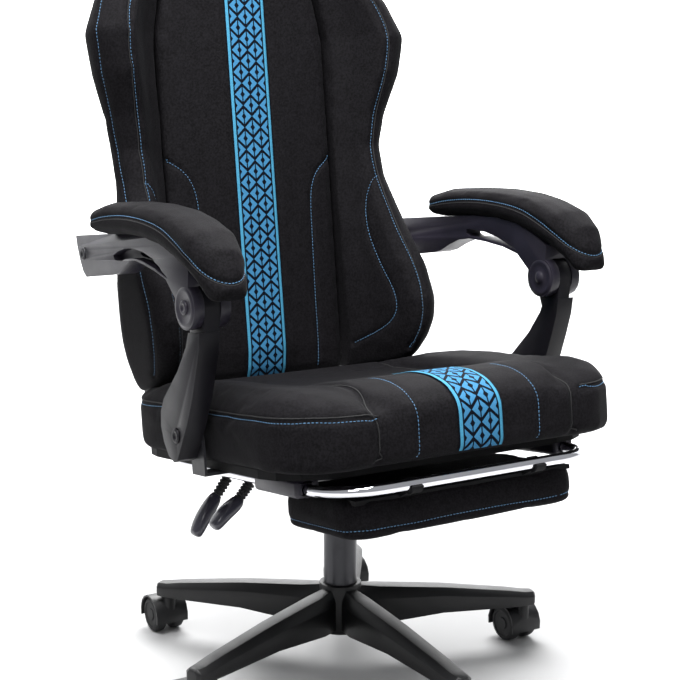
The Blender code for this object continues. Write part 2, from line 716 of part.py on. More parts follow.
def build_back_frame(back, steel):
    x, y, foot = FRAME_X, FRAME_Y, 0.140
    corners = [(-x, y, foot), (-x, y, 0.62), (-0.10, y, 0.845), (0.10, y, 0.845), (x, y, 0.62), (x, y, foot)]
    frame = add_part("back_frame", pipe(rounded_path(corners, 0.05, 4), FRAME_TUBE, 2), steel, back)
    for z in (0.17, 0.46):
        join(frame, cross_bar(y, z, -x, x, FRAME_TUBE - 0.0015, 8))
    hinge_y, hinge_z = HINGE
    pivot_y, pivot_z = LINK_REAR
    for side in (1, -1):
        lug = [(hinge_y + 0.013, 0.20), (hinge_y - 0.013, 0.20)]
        lug += arc(HINGE, 0.013, 180, 360, 8)
        join(frame, plate(lug, side * LUG_INNER, side * LUG_OUTER))
        cut(frame, cross_bar(hinge_y, hinge_z, side * 0.18, side * 0.196, 0.0054))
        low, high = sorted((side * 0.178, side * 0.261))
        join(frame, box((low, 0.270, pivot_z - 0.012), (high, 0.284, pivot_z + 0.012)))
        ear = [(0.284, pivot_z + 0.0119), (pivot_y, pivot_z + 0.015)]
        ear += arc(LINK_REAR, 0.015, 105, 255, 6) + [(pivot_y, pivot_z - 0.015), (0.284, pivot_z - 0.0119)]
        join(frame, plate(ear, side * 0.256, side * 0.261))
        cut(frame, cross_bar(pivot_y, pivot_z, side * 0.25, side * 0.27, 0.0054))


# ---- armrests ----
def build_arm(side, label, seat, plastic, fabric, steel):
    link_axis = new_empty(f"arm_link_{label}_axis", seat, (0, *LINK_REAR))
    foot_axis = new_empty(f"arm_support_{label}_axis", seat, (0, *SUPPORT_FOOT))
    y, z = KNUCKLE
    top = [(0.2385, 0.3195), (0.13, 0.317), (0.085, 0.3160), (0.0, 0.3128), (-0.065, 0.3055), (-0.115, 0.2935)]
    top += [(-0.152, 0.276), (-0.180, 0.259)]
    disc = arc(KNUCKLE, KNUCKLE_RADIUS, 118, 385, 16)
    under = [(-0.111, 0.2490), (-0.078, 0.2605), (-0.0326, 0.2705), (0.006, 0.2765), (0.034, 0.2758)]
    under += [(0.060, 0.2690), (0.085, 0.2602), (0.105, 0.2575), (0.2085, 0.2560)]
    rear = [(0.2195, 0.265), (0.2285, 0.281), (0.236, 0.303)]
    link_mesh = plate(top + disc + under + rear, side * ARM_INNER, side * ARM_OUTER)
    narrow_rear(link_mesh, side)
    link = add_part(f"arm_link_{label}", link_mesh, plastic, link_axis)
    slot_inner, slot_outer = side * (TONGUE_INNER - 0.0006), side * (TONGUE_OUTER + 0.0006)
    cut(
        link,
        cross_bar(y, z, slot_inner, slot_outer, KNUCKLE_RADIUS + 0.0010, 24),
        cross_bar(y, z, side * 0.25, side * 0.33, 0.0066),
        cross_bar(*LINK_REAR, side * 0.25, side * 0.33, 0.0054),
    )
    add_part(f"arm_pad_{label}", loft(pad_rings(side)), fabric, link_axis)
    ends = (0.2530, 0.2555, 0.3021, 0.3051)
    headed_pin(f"link_pivot_bolt_{label}", LINK_REAR, 0.005, 0.009, ends, side, steel, link_axis)

    foot_y, foot_z = SUPPORT_FOOT
    body = [(-0.150, 0.179), (-0.140, 0.160), (-0.110, 0.128), (-0.082, 0.106), (-0.060, 0.089)]
    body += [(-0.048, 0.071), (-0.045, 0.051), (-0.051, 0.030), (-0.063, 0.012), (-0.079, 0.004)]
    body += [(-0.090, 0.008), (-0.104, 0.027), (-0.127, 0.058), (-0.147, 0.091), (-0.163, 0.124)]
    body += [(-0.177, 0.156), (-0.183, 0.179)]
    support_mesh = plate(body, side * TONGUE_INNER, side * SUPPORT_OUTER)
    support = add_part(f"arm_support_{label}", support_mesh, plastic, foot_axis)
    cut(support, cross_bar(y, z, side * (TONGUE_OUTER), side * 0.33, KNUCKLE_RADIUS + 0.0014, 24))
    neck = arc(KNUCKLE, KNUCKLE_RADIUS - 0.001, -5, 185, 12) + [(-0.178, 0.165), (-0.145, 0.165)]
    join(support, plate(neck, side * (TONGUE_INNER + 0.00005), side * (TONGUE_OUTER - 0.00005)))
    cut(
        support,
        cross_bar(y, z, side * 0.27, side * 0.33, 0.0063),
        cross_bar(foot_y, foot_z, side * 0.27, side * 0.33, 0.0054),
    )
    ends = (0.2625, 0.2655, 0.3185, 0.3215)
    headed_pin(f"knuckle_pin_{label}", KNUCKLE, 0.006, 0.0095, ends, side, steel, foot_axis)
    ends = (0.2765, 0.2765, 0.3105, 0.3145)
    headed_pin(f"support_pivot_bolt_{label}", SUPPORT_FOOT, 0.005, 0.010, ends, side, steel, foot_axis)


def narrow_rear(mesh, side):
    """The outer face of the link runs inward from the knuckle to its rear end."""
    start, end = -0.06, 0.075
    for vertex in mesh.vertices:
        if vertex.co.x * side > (ARM_INNER + ARM_OUTER) / 2:
            share = min(max((vertex.co.y - start) / (end - start), 0.0), 1.0)
            vertex.co.x = side * (ARM_OUTER + (LINK_REAR_OUTER - ARM_OUTER) * share)


def nose_share(y):
    """The arm pad's width shrinks round its nose, as a share of its full width."""
    start = PAD_NOSE - 0.003 + NOSE_LENGTH
    return math.sqrt(max(1 - (max(start - y, 0.0) / NOSE_LENGTH) ** 2, 0.05))


def pad_rings(side):
    """Sections of the arm pad, each from a point of its underside to a point of its top."""
    stations = (
        ((0.110, 0.3245), (0.112, 0.342), 0.80),
        ((0.100, 0.3180), (0.104, 0.352), 0.95),
        ((0.060, 0.3168), (0.060, 0.357), 1.0),
        ((0.0, 0.3138), (-0.004, 0.3535), 1.0),
        ((-0.062, 0.3070), (-0.068, 0.347), 1.0),
        ((-0.112, 0.2955), (-0.125, 0.337), 1.0),
        ((-0.152, 0.2785), (-0.170, 0.324), 1.0),
        ((-0.190, 0.2590), (-0.210, 0.307), 1.0),
        ((-0.217, 0.2365), (-0.241, 0.281), 1.0),
        ((-0.231, 0.2200), (-0.2515, 0.256), 1.0),
        ((-0.241, 0.2165), (PAD_NOSE + 0.0020, 0.240), 1.0),
        ((-0.247, 0.2180), (PAD_NOSE, 0.231), 1.0),
    )
    rings = []
    for low, high, share in stations:
        half = PAD_HALF_WIDTH * share
        section = ((0.72, 0.0), (1.0, 0.22), (1.0, 0.60), (0.82, 0.88), (0.35, 1.0))
        ring = [(x, t) for x, t in section] + [(-x, t) for x, t in reversed(section)]
        points = []
        for x, t in ring:
            y = low[0] + (high[0] - low[0]) * t
            z = low[1] + (high[1] - low[1]) * t
            points.append((side * (PAD_CENTRE + half * nose_share(y) * x), y, z))
        rings.append(points)
    return rings


def main():
    clear_scene()
    fabric = new_material("black_fabric", (0.02, 0.02, 0.023), 0.9)
    wood = new_material("plywood", (0.35, 0.24, 0.14), 0.7)
    black_steel = new_material("black_steel", (0.03, 0.03, 0.032), 0.45, 0.6)
    zinc = new_material("zinc_steel", (0.45, 0.45, 0.46), 0.35, 1.0)
    chrome = new_material("chrome", (0.8, 0.8, 0.82), 0.08, 1.0)
    nylon = new_material("black_nylon", (0.03, 0.03, 0.033), 0.5)
    arm_plastic = new_material("arm_plastic", (0.06, 0.055, 0.075), 0.42)
    grip_plastic = new_material("grip_plastic", (0.05, 0.05, 0.06), 0.18)
    rubber = new_material("black_rubber", (0.015, 0.015, 0.016), 0.75)

    root = new_empty("chair", None, (0, COLUMN_Y, 0))
    seat = new_empty("seat_frame", root, (0, 0, SEAT_HEIGHT), (SEAT_TILT, 0, 0))
    bpy.context.view_layer.update()

    build_base(root, nylon, black_steel)
    build_lift(root, zinc)
    for k in range(CASTER_COUNT):
        build_caster(k, root, nylon, rubber)
    build_mechanism(seat, black_steel)
    lever_shapes = (
        ("height_lever", LEVER_PLANES[0], (-0.168, -0.050), (-0.194, -0.081), (-0.227, -0.127)),
        ("recline_lever", LEVER_PLANES[1], (-0.168, -0.050), (-0.193, -0.076), (-0.231, -0.105)),
    )
    for name, y, shoulder, sleeve_end, tip in lever_shapes:
        build_lever(name, y, shoulder, sleeve_end, tip, seat, black_steel, rubber, grip_plastic)
    build_footrest(seat, chrome, black_steel, wood, fabric)
    build_seat(seat, fabric, wood, black_steel)
    build_back(seat, fabric, black_steel, nylon)
    for side, label in ((1, "left"), (-1, "right")):
        build_arm(side, label, seat, arm_plastic, fabric, black_steel)


main()
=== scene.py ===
"""Looks of the gaming chair: sewn and padded upholstery, moulded plastic, chrome and casters.

Soft pieces start as copies of their CAD solids, are inflated as cloth, and then get their sewn
channels, stitches and ribbon. Coordinates called seat coordinates lean back with the seat: x across,
y along the seat towards the back, z square to the seat board.
"""

import json
import math

import bmesh
import bpy
import numpy as np
from mathutils import Matrix, Vector
from mathutils.bvhtree import BVHTree
from mathutils.kdtree import KDTree

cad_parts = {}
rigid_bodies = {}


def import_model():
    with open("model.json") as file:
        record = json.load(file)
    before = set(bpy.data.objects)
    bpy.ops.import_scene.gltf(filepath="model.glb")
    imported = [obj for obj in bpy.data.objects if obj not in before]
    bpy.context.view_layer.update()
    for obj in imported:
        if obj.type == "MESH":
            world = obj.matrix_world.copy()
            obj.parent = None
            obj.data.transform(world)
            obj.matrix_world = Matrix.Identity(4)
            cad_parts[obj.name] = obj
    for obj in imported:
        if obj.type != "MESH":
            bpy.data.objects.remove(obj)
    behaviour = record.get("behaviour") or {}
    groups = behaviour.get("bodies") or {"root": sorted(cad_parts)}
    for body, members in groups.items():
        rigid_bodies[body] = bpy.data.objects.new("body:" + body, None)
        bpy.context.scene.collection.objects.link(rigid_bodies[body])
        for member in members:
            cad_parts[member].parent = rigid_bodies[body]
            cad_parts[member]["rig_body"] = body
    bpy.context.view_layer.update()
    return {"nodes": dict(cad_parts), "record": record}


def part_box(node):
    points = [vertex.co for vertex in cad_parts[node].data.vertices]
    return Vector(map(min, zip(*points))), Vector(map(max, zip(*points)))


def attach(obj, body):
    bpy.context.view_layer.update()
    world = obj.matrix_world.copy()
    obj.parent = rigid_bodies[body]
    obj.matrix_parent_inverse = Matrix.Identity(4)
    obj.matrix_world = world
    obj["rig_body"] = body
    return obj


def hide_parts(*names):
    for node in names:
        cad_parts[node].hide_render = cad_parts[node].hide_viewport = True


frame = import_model()

column_low, column_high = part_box("gas_column")
COLUMN = (column_low + column_high) / 2
SEAT_HEIGHT, SEAT_TILT = 0.357, math.radians(-7.0)
SEAT = Matrix.Translation((COLUMN.x, COLUMN.y, SEAT_HEIGHT)) @ Matrix.Rotation(SEAT_TILT, 4, "X")
TO_SEAT = SEAT.inverted()
WORLD = Matrix.Translation((COLUMN.x, COLUMN.y, 0))
WORLD_AXES = Matrix.Identity(4)
SIDES = ((1, "left"), (-1, "right"))

# The armrests' pivots and the recline hinge: y and height in seat coordinates.
HINGE, LINK_REAR, SUPPORT_FOOT = (0.276, 0.120), (0.206, 0.291), (-0.092, 0.041)
KNUCKLE = (SUPPORT_FOOT[0] + LINK_REAR[0] - HINGE[0], SUPPORT_FOOT[1] + LINK_REAR[1] - HINGE[1])
RIBBON_HALF = 0.036
RIBBON_EDGE = RIBBON_HALF + 0.001
RIBBON_FIELD = 0.0285  # half width of the ribbon's lattice, inside its borders
RHOMB_WIDTH, RHOMB_HEIGHT = 0.0285, 0.035
PANEL_FRONT = 0.222
# The seat's seams: x of the piping and of the topstitching, height of the side seams.
PIPING_X, TOPSTITCH_X, SEAM_HEIGHT = 0.157, 0.097, 0.0690
WHEEL_RADIUS = 0.0275
# How far the soft pieces may reach, in seat coordinates.
SEAT_SIDE, SEAT_REAR, SEAT_FOOT = 0.2762, 0.2175, 0.0004
PANEL_REAR, PANEL_FOOT = 0.2492, 0.0690
WING_SIDE, WING_REAR, WING_SIDE_AT_EAR = 0.280, 0.2532, 0.2540
PAD_INSIDE, PAD_OUTSIDE = 0.2545, 0.3375
FOOTREST_TOP, FOOTREST_SEAM = -0.0400, -0.0815

# Heights and values of the back's outline, which follow the CAD back.
BACK_WIDTHS = (
    (0.0765, 0.212), (0.09, 0.231), (0.12, 0.243), (0.16, 0.251), (0.25, 0.252), (0.33, 0.243),
    (0.42, 0.236), (0.495, 0.249), (0.56, 0.268), (0.62, 0.275), (0.68, 0.252), (0.74, 0.198),
    (0.80, 0.168), (0.86, 0.15), (0.885, 0.13),
)
WING_FRONTS = (
    (0.0765, 0.207), (0.083, 0.163), (0.089, 0.128), (0.100, 0.105), (0.125, 0.080), (0.150, 0.068),
    (0.182, 0.065), (0.237, 0.084), (0.312, 0.128), (0.391, 0.166), (0.443, 0.178), (0.493, 0.170),
    (0.56, 0.148), (0.62, 0.14), (0.68, 0.155), (0.74, 0.185), (0.80, 0.203), (0.885, 0.213),
)
PANEL_WIDTHS = ((0.0765, 0.156), (0.62, 0.156), (0.80, 0.12), (0.885, 0.09))
# Where the seat's rear part ends under the wings: y, height.
SEAT_ROOF = ((0.05, 0.085, 0.12, 0.16, 0.21), (0.2, 0.0945, 0.0875, 0.0815, 0.0752))


# ---- materials ----
def srgb(*values):
    """Linear colour of an sRGB colour given in 0 to 255."""
    return [((v / 255 + 0.055) / 1.055) ** 2.4 if v > 10 else v / 255 / 12.92 for v in values]


class Nodes:
    """A material's node tree, with short ways to add and join nodes. A noise's scale is per metre."""

    def __init__(self, name):
        self.material = bpy.data.materials.new(name)
        self.material.use_nodes = True
        self.tree = self.material.node_tree
        self.shader = self.tree.nodes["Principled BSDF"]

    def add(self, kind, **settings):
        node = self.tree.nodes.new(kind)
        for key, value in settings.items():
            setattr(node, key, value)
        return node

    def join(self, source, target):
        self.tree.links.new(source, target)

    def put(self, **values):
        for key, value in values.items():
            socket = self.shader.inputs[key.replace("_", " ")]
            if hasattr(value, "default_value"):
                self.join(value, socket)
            elif isinstance(value, (list, tuple)):
                socket.default_value = (*value, 1.0)
            else:
                socket.default_value = value

    def noise(self, scale, detail=3.0, roughness=0.5):
        node = self.add("ShaderNodeTexNoise")
        node.inputs["Scale"].default_value = scale
        node.inputs["Detail"].default_value = detail
        node.inputs["Roughness"].default_value = roughness
        place = self.add("ShaderNodeTexCoord").outputs["Object"]
        self.join(place, node.inputs["Vector"])
        return node.outputs["Fac"]

    def ramp(self, factor, stops):
        node = self.add("ShaderNodeValToRGB")
        while len(node.color_ramp.elements) < len(stops):
            node.color_ramp.elements.new(0.5)
        for element, (place, colour) in zip(node.color_ramp.elements, stops):
            element.position = place
            element.color = (*colour, 1.0)
        self.join(factor, node.inputs["Fac"])
        return node.outputs["Color"]

    def math(self, operation, first, second=None, third=None):
        node = self.add("ShaderNodeMath", operation=operation)
        for socket, value in zip(node.inputs, (first, second, third)):
            if value is None:
                continue
            if hasattr(value, "default_value"):
                self.join(value, socket)
            else:
                socket.default_value = value
        return node.outputs["Value"]

    def blend(self, factor, first, second):
        node = self.add("ShaderNodeMix", data_type="RGBA")
        if hasattr(factor, "default_value"):
            self.join(factor, node.inputs["Factor"])
        else:
            node.inputs["Factor"].default_value = factor
        colours = [socket for socket in node.inputs if socket.type == "RGBA"]
        for socket, value in zip(colours, (first, second)):
            if hasattr(value, "default_value"):
                self.join(value, socket)
            else:
                socket.default_value = (*value, 1.0)
        return [socket for socket in node.outputs if socket.type == "RGBA"][0]

    def bump(self, height, strength, distance, under=None):
        node = self.add("ShaderNodeBump")
        node.inputs["Strength"].default_value = strength
        node.inputs["Distance"].default_value = distance
        self.join(height, node.inputs["Height"])
        if under is not None:
            self.join(under, node.inputs["Normal"])
        return node.outputs["Normal"]


def fabric_material():
    n = Nodes("napped_fabric")
    nap = n.noise(48, 4, 0.65)
    grain = n.noise(340, 2, 0.7)
    weave = n.noise(1500, 2, 0.7)
    cloud = n.ramp(nap, ((0.3, srgb(7, 6, 7)), (0.7, srgb(15, 14, 16))))
    fleck = n.ramp(grain, ((0.38, srgb(2, 2, 3)), (0.62, srgb(29, 28, 31))))
    n.put(Base_Color=n.blend(0.45, cloud, fleck), Roughness=n.math("MULTIPLY_ADD", grain, 0.2, 0.70))
    n.put(Sheen_Weight=0.008, Sheen_Roughness=0.4, Specular_IOR_Level=0.07)
    n.shader.inputs["Sheen Tint"].default_value = (0.85, 0.86, 0.92, 1.0)
    under = n.bump(weave, 0.35, 0.0006)
    n.put(Normal=n.bump(nap, 0.15, 0.003, under))
    return n.material


def thread_material():
    n = Nodes("blue_thread")
    twist = n.noise(2200, 1)
    n.put(Base_Color=n.ramp(twist, ((0.3, srgb(34, 76, 112)), (0.7, srgb(78, 130, 170)))), Roughness=0.5)
    n.put(Normal=n.bump(twist, 0.4, 0.0003), Sheen_Weight=0.15)
    return n.material


def ribbon_material():
    """A woven band: two bright borders and a lattice of rhombi, drawn from the band's own metres."""
    n = Nodes("woven_ribbon")
    coordinates = n.add("ShaderNodeUVMap", uv_map="band")
    split = n.add("ShaderNodeSeparateXYZ")
    n.join(coordinates.outputs["UV"], split.inputs["Vector"])
    edge = n.math("ABSOLUTE", split.outputs["X"])
    a = n.math("MULTIPLY", split.outputs["X"], 1 / RHOMB_WIDTH)
    b = n.math("MULTIPLY", split.outputs["Y"], 1 / RHOMB_HEIGHT)
    p = n.math("FRACT", n.math("ADD", n.math("ADD", a, b), 20.0))
    q = n.math("FRACT", n.math("ADD", n.math("SUBTRACT", a, b), 20.0))
    sideways = n.math("ABSOLUTE", n.math("SUBTRACT", n.math("ADD", p, q), 1.0))
    upward = n.math("ABSOLUTE", n.math("SUBTRACT", p, q))
    outline = n.math("GREATER_THAN", n.math("MULTIPLY_ADD", upward, 1.30, sideways), 0.94)
    heart = n.math("LESS_THAN", n.math("MULTIPLY_ADD", upward, 0.85, sideways), 0.29)
    slit = n.math("LESS_THAN", sideways, 0.075)
    dark = n.math("MAXIMUM", outline, n.math("MAXIMUM", heart, slit))
    rule = n.math("GREATER_THAN", edge, RIBBON_FIELD)
    border = n.math("GREATER_THAN", edge, RIBBON_FIELD + 0.0012)
    hem = n.math("GREATER_THAN", edge, RIBBON_HALF - 0.0016)
    weft = n.noise(1100, 2, 0.6)
    bright = n.ramp(weft, ((0.25, srgb(44, 108, 138)), (0.75, srgb(74, 140, 170))))
    pale = n.ramp(weft, ((0.25, srgb(38, 92, 130)), (0.75, srgb(66, 122, 158))))
    navy = n.ramp(weft, ((0.25, srgb(3, 6, 12)), (0.75, srgb(9, 16, 27))))
    field = n.blend(rule, n.blend(dark, pale, navy), navy)
    banded = n.blend(border, field, bright)
    n.put(Base_Color=n.blend(hem, banded, navy), Roughness=0.8, Specular_IOR_Level=0.06)
    under = n.bump(weft, 0.3, 0.0004)
    n.put(Normal=n.bump(n.math("SUBTRACT", 1.0, dark), 0.25, 0.0003, under))
    return n.material


def plastic_material(name, dark, light, roughness, grain=0.25, gloss=0.5):
    n = Nodes(name)
    n.put(Specular_IOR_Level=gloss)
    cloud, pits = n.noise(9, 3), n.noise(1300, 2, 0.6)
    n.put(Base_Color=n.ramp(cloud, ((0.35, srgb(*dark)), (0.65, srgb(*light)))))
    n.put(Roughness=n.math("MULTIPLY_ADD", n.noise(30, 3), 0.14, roughness - 0.07))
    n.put(Normal=n.bump(pits, grain, 0.0003))
    return n.material


def metal_material(name, dark, light, roughness, metallic):
    n = Nodes(name)
    cloud = n.noise(14, 4)
    n.put(Base_Color=n.ramp(cloud, ((0.35, srgb(*dark)), (0.65, srgb(*light)))), Metallic=metallic)
    n.put(Roughness=n.math("MULTIPLY_ADD", n.noise(70, 3), roughness * 0.5, roughness * 0.75))
    n.put(Normal=n.bump(n.noise(420, 2), 0.06, 0.0003))
    return n.material


FABRIC = fabric_material()
THREAD = thread_material()
RIBBON = ribbon_material()
CORD = plastic_material("seam_cord", (7, 7, 8), (12, 12, 13), 0.8)
ARM_PLASTIC = plastic_material("arm_plastic", (27, 25, 33), (36, 33, 43), 0.38, gloss=0.38)
# A darker copy of the arm plastic for the supports and their foot caps: its darkening is painted shade,
# since these parts stand less lit than the links.
SHADED_ARM_PLASTIC = plastic_material("arm_plastic_painted_shade", (15, 14, 18), (21, 20, 25), 0.40, gloss=0.22)
GRIP_PLASTIC = plastic_material("grip_plastic", (40, 39, 47), (54, 53, 62), 0.16, 0.05)
NYLON = plastic_material("base_nylon", (13, 13, 14), (21, 21, 23), 0.42, gloss=0.35)
TYRE = plastic_material("wheel_rubber", (16, 16, 17), (26, 26, 28), 0.7)
STEEL = metal_material("coated_steel", (24, 24, 27), (36, 36, 40), 0.42, 0.35)
ZINC = metal_material("zinc_steel", (150, 150, 155), (178, 178, 184), 0.3, 1.0)
CHROME = metal_material("chrome", (225, 225, 230), (238, 238, 243), 0.06, 1.0)
COLUMN_PAINT = metal_material("column_paint", (50, 50, 54), (64, 64, 68), 0.35, 0.4)
BOARD = plastic_material("painted_board", (9, 9, 10), (15, 15, 17), 0.7, gloss=0.15)


# ---- meshes ----
def linked(name, data):
    obj = bpy.data.objects.new(name, data)
    bpy.context.scene.collection.objects.link(obj)
    return obj


def dress(obj, material, body, sharp=None):
    """Gives a piece its material, shading and body. Edges over sharp degrees stay sharp."""
    obj.data.materials.clear()
    obj.data.materials.append(material)
    obj.data.shade_smooth()
    if sharp:
        obj.data.set_sharp_from_angle(angle=math.radians(sharp))
    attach(obj, body)


def new_piece(name, mesh, material, body, sharp=None):
    obj = linked(name, mesh)
    dress(obj, material, body, sharp)
    return obj


def mesh_from(points, faces, place=SEAT):
    mesh = bpy.data.meshes.new("shape")
    mesh.from_pydata([place @ Vector(point) for point in points], [], faces)
    bm = bmesh.new()
    bm.from_mesh(mesh)
    bmesh.ops.recalc_face_normals(bm, faces=bm.faces)
    bm.to_mesh(mesh)
    bm.free()
    return mesh


def circle(centre, first, second, radius, steps):
    """Points round centre, in the plane of two unit vectors."""
    turns = [2 * math.pi * k / steps for k in range(steps)]
    return [centre + (first * math.cos(turn) + second * math.sin(turn)) * radius for turn in turns]


def tube_faces(start, rows, sides):
    """Faces of a closed tube whose rings of points follow each other from index start."""
    faces = []
    for low in range(start, start + (rows - 1) * sides, sides):
        for k in range(sides):
            j = (k + 1) % sides
            faces.append((low + k, low + j, low + sides + j, low + sides + k))
    faces.append(tuple(range(start + sides - 1, start - 1, -1)))
    faces.append(tuple(range(start + (rows - 1) * sides, start + rows * sides)))
    return faces


def loft(rings, place=SEAT):
    """A closed shape through rings of points, all of the same count."""
    points = [point for ring in rings for point in ring]
    return mesh_from(points, tube_faces(0, len(rings), len(rings[0])), place)


def turned(profile, centre, direction, steps=48, place=SEAT):
    """A (radius, height) profile turned about a line through centre along direction."""
    axis = Vector(direction).normalized()
    first = axis.orthogonal().normalized()
    second = axis.cross(first)
    rings = []
    for radius, height in profile:
        rings.append(circle(Vector(centre) + axis * height, first, second, max(radius, 0.00005), steps))
    return loft(rings, place)


def pipe(points, radius, steps):
    """A round tube along points, with its ends closed."""
    normal = (points[1] - points[0]).orthogonal().normalized()
    rings = []
    for i, point in enumerate(points):
        ahead = points[min(i + 1, len(points) - 1)] - points[max(i - 1, 0)]
        ahead.normalize()
        normal = (normal - ahead * normal.dot(ahead)).normalized()
        rings.append(circle(point, normal, ahead.cross(normal), radius, steps))
    return loft(rings)


def rounded_path(corners, radius, steps):
    """Points along straight runs between corners, with each inner corner an arc."""
    points = [Vector(corners[0])]
    for before, corner, after in zip(corners, corners[1:], corners[2:]):
        before, corner, after = Vector(before), Vector(corner), Vector(after)
        back, ahead = (before - corner).normalized(), (after - corner).normalized()
        half = back.angle(ahead) / 2
        centre = corner + (back + ahead).normalized() * radius / math.sin(half)
        start = (corner + back * radius / math.tan(half) - centre).normalized()
        end = (corner + ahead * radius / math.tan(half) - centre).normalized()
        for step in range(steps + 1):
            points.append(centre + start.slerp(end, step / steps) * radius)
    points.append(Vector(corners[-1]))
    return points


def apply_modifiers(obj):
    graph = bpy.context.evaluated_depsgraph_get()
    mesh = bpy.data.meshes.new_from_object(obj.evaluated_get(graph))
    old = obj.data
    obj.modifiers.clear()
    obj.data = mesh
    if old.users == 0:
        bpy.data.meshes.remove(old)


def read_points(mesh):
    points = np.empty(len(mesh.vertices) * 3)
    mesh.vertices.foreach_get("co", points)
    return points.reshape(-1, 3)


def write_points(mesh, points):
    mesh.vertices.foreach_set("co", np.ascontiguousarray(points, np.float32).ravel())
    mesh.update()


def move(points, matrix):
    turn = np.array(matrix.to_3x3())
    return points @ turn.T + np.array(matrix.translation)


# ---- padded pieces ----
CLOTH_FRAMES = 20
# One thread: share of its length, share of its radius, rise above the surface in radii.
THREAD_RINGS = ((0, 0.35, -0.6), (0.22, 1, 0.5), (0.78, 1, 0.5), (1, 0.35, -0.6))


def inflated(node, voxel, smoothing, cap, pressure, limit):
    """The CAD solid as a sewn, stuffed piece: remeshed, blown up as cloth by at most cap, and held
    inside limit, a function that clamps points in seat coordinates."""
    body = frame["nodes"][node]["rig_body"]
    mesh = frame["nodes"][node].data.copy()
    obj = linked(f"{node}_cover", mesh)
    remesh = obj.modifiers.new("Remesh", "REMESH")
    remesh.mode = "VOXEL"
    remesh.voxel_size = voxel
    smooth = obj.modifiers.new("Smooth", "SMOOTH")
    smooth.factor = 0.5
    smooth.iterations = smoothing
    apply_modifiers(obj)
    start = read_points(obj.data)
    cloth = obj.modifiers.new("Cloth", "CLOTH")
    settings = cloth.settings
    settings.quality = 5
    settings.mass = 0.3
    settings.tension_stiffness = settings.compression_stiffness = 15
    settings.shear_stiffness = 5
    settings.bending_stiffness = 0.5
    settings.use_pressure = True
    settings.uniform_pressure_force = pressure
    settings.effector_weights.gravity = 0
    cloth.collision_settings.use_collision = False
    cloth.point_cache.frame_start, cloth.point_cache.frame_end = 1, CLOTH_FRAMES
    for number in range(1, CLOTH_FRAMES + 1):
        bpy.context.scene.frame_set(number)
    apply_modifiers(obj)
    bpy.context.scene.frame_set(1)
    shift = read_points(obj.data) - start
    length = np.linalg.norm(shift, axis=1, keepdims=True)
    shift *= np.minimum(1.0, cap / np.maximum(length, 1e-9))
    start = start + shift
    write_points(obj.data, move(limit(move(start, TO_SEAT)), SEAT))
    obj.modifiers.new("Finer", "SUBSURF").levels = 1
    apply_modifiers(obj)
    dress(obj, FABRIC, body)
    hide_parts(node)
    return obj


def tree_of(obj):
    mesh = obj.data
    points = [vertex.co.copy() for vertex in mesh.vertices]
    return BVHTree.FromPolygons(points, [polygon.vertices[:] for polygon in mesh.polygons])


def smooth_line(points, spacing=0.0015, closed=False):
    """Evenly spaced points on a smooth curve through the given ones."""
    points = np.array(points, float)
    if closed:
        padded = np.vstack([points[-1:], points, points[:2]])
    else:
        padded = np.vstack([2 * points[0] - points[1], points, 2 * points[-1] - points[-2]])
    dense = []
    for i in range(1, len(padded) - 2):
        before, start, end, after = padded[i - 1 : i + 3]
        for share in np.linspace(0, 1, 24, endpoint=False):
            line = (end - before) * share
            square = (2 * before - 5 * start + 4 * end - after) * share**2
            cube = (3 * start - before - 3 * end + after) * share**3
            dense.append(0.5 * (2 * start + line + square + cube))
    dense.append(padded[-2])
    dense = np.array(dense)
    lengths = run_of(dense)
    count = max(int(lengths[-1] / spacing), 2)
    return points_at(dense, lengths, np.linspace(0, lengths[-1], count + 1))


def run_of(points):
    """The length of the line from its first point up to each of its points."""
    return np.concatenate([[0], np.cumsum(np.linalg.norm(np.diff(points, axis=0), axis=1))])


def points_at(values, lengths, places):
    """Values between the line's points, at lengths from its start."""
    return np.stack([np.interp(places, lengths, values[:, k]) for k in range(3)], axis=-1)


def corner_arcs(corners, height):
    """A closed line round corners, each a quarter circle: centre x and y, first angle, radius."""
    outline = []
    for x, y, first, radius in corners:
        for angle in (0, 30, 60, 90):
            turn = math.radians(first + angle)
            outline.append((x + radius * math.cos(turn), y + radius * math.sin(turn), height))
    return smooth_line(outline, closed=True)


def on_surface(obj, line):
    """The line laid on the surface, smoothed along its length, with the normals there, in world
    coordinates."""
    rounds, reach = 5, 10
    tree = tree_of(obj)
    points = np.array([SEAT @ Vector(point) for point in line])
    closed = np.linalg.norm(points[0] - points[-1]) < 0.004
    for turn in range(rounds):
        found = [tree.find_nearest(Vector(point)) for point in points]
        points = np.array([hit[0] for hit in found])
        if turn == rounds - 1:
            break
        mode = "wrap" if closed else "edge"
        padded = np.pad(points, ((reach, reach), (0, 0)), mode=mode)
        span = 2 * reach + 1
        mean = np.stack([padded[k : k + len(points)] for k in range(span)]).mean(axis=0)
        if not closed:
            mean[:reach], mean[-reach:] = points[:reach], points[-reach:]
        points = mean
    normals = np.array([hit[1] for hit in found])
    return points, normals


def press(obj, lines, width, depth):
    """Draws the surface in along lines (seat coordinates), as a seam pulls a cover in."""
    mesh = obj.data
    grooves = [on_surface(obj, line)[0] for line in lines]
    path = np.vstack(grooves)
    tree = KDTree(len(path))
    for i, point in enumerate(path):
        tree.insert(point, i)
    tree.balance()
    points = read_points(mesh)
    normals = np.empty(len(mesh.vertices) * 3)
    mesh.vertices.foreach_get("normal", normals)
    normals = normals.reshape(-1, 3)
    distance = np.array([tree.find(Vector(point))[2] for point in points])
    fall = depth * np.exp(-((distance / width) ** 2))
    write_points(mesh, points - normals * fall[:, None])
    mesh.shade_smooth()


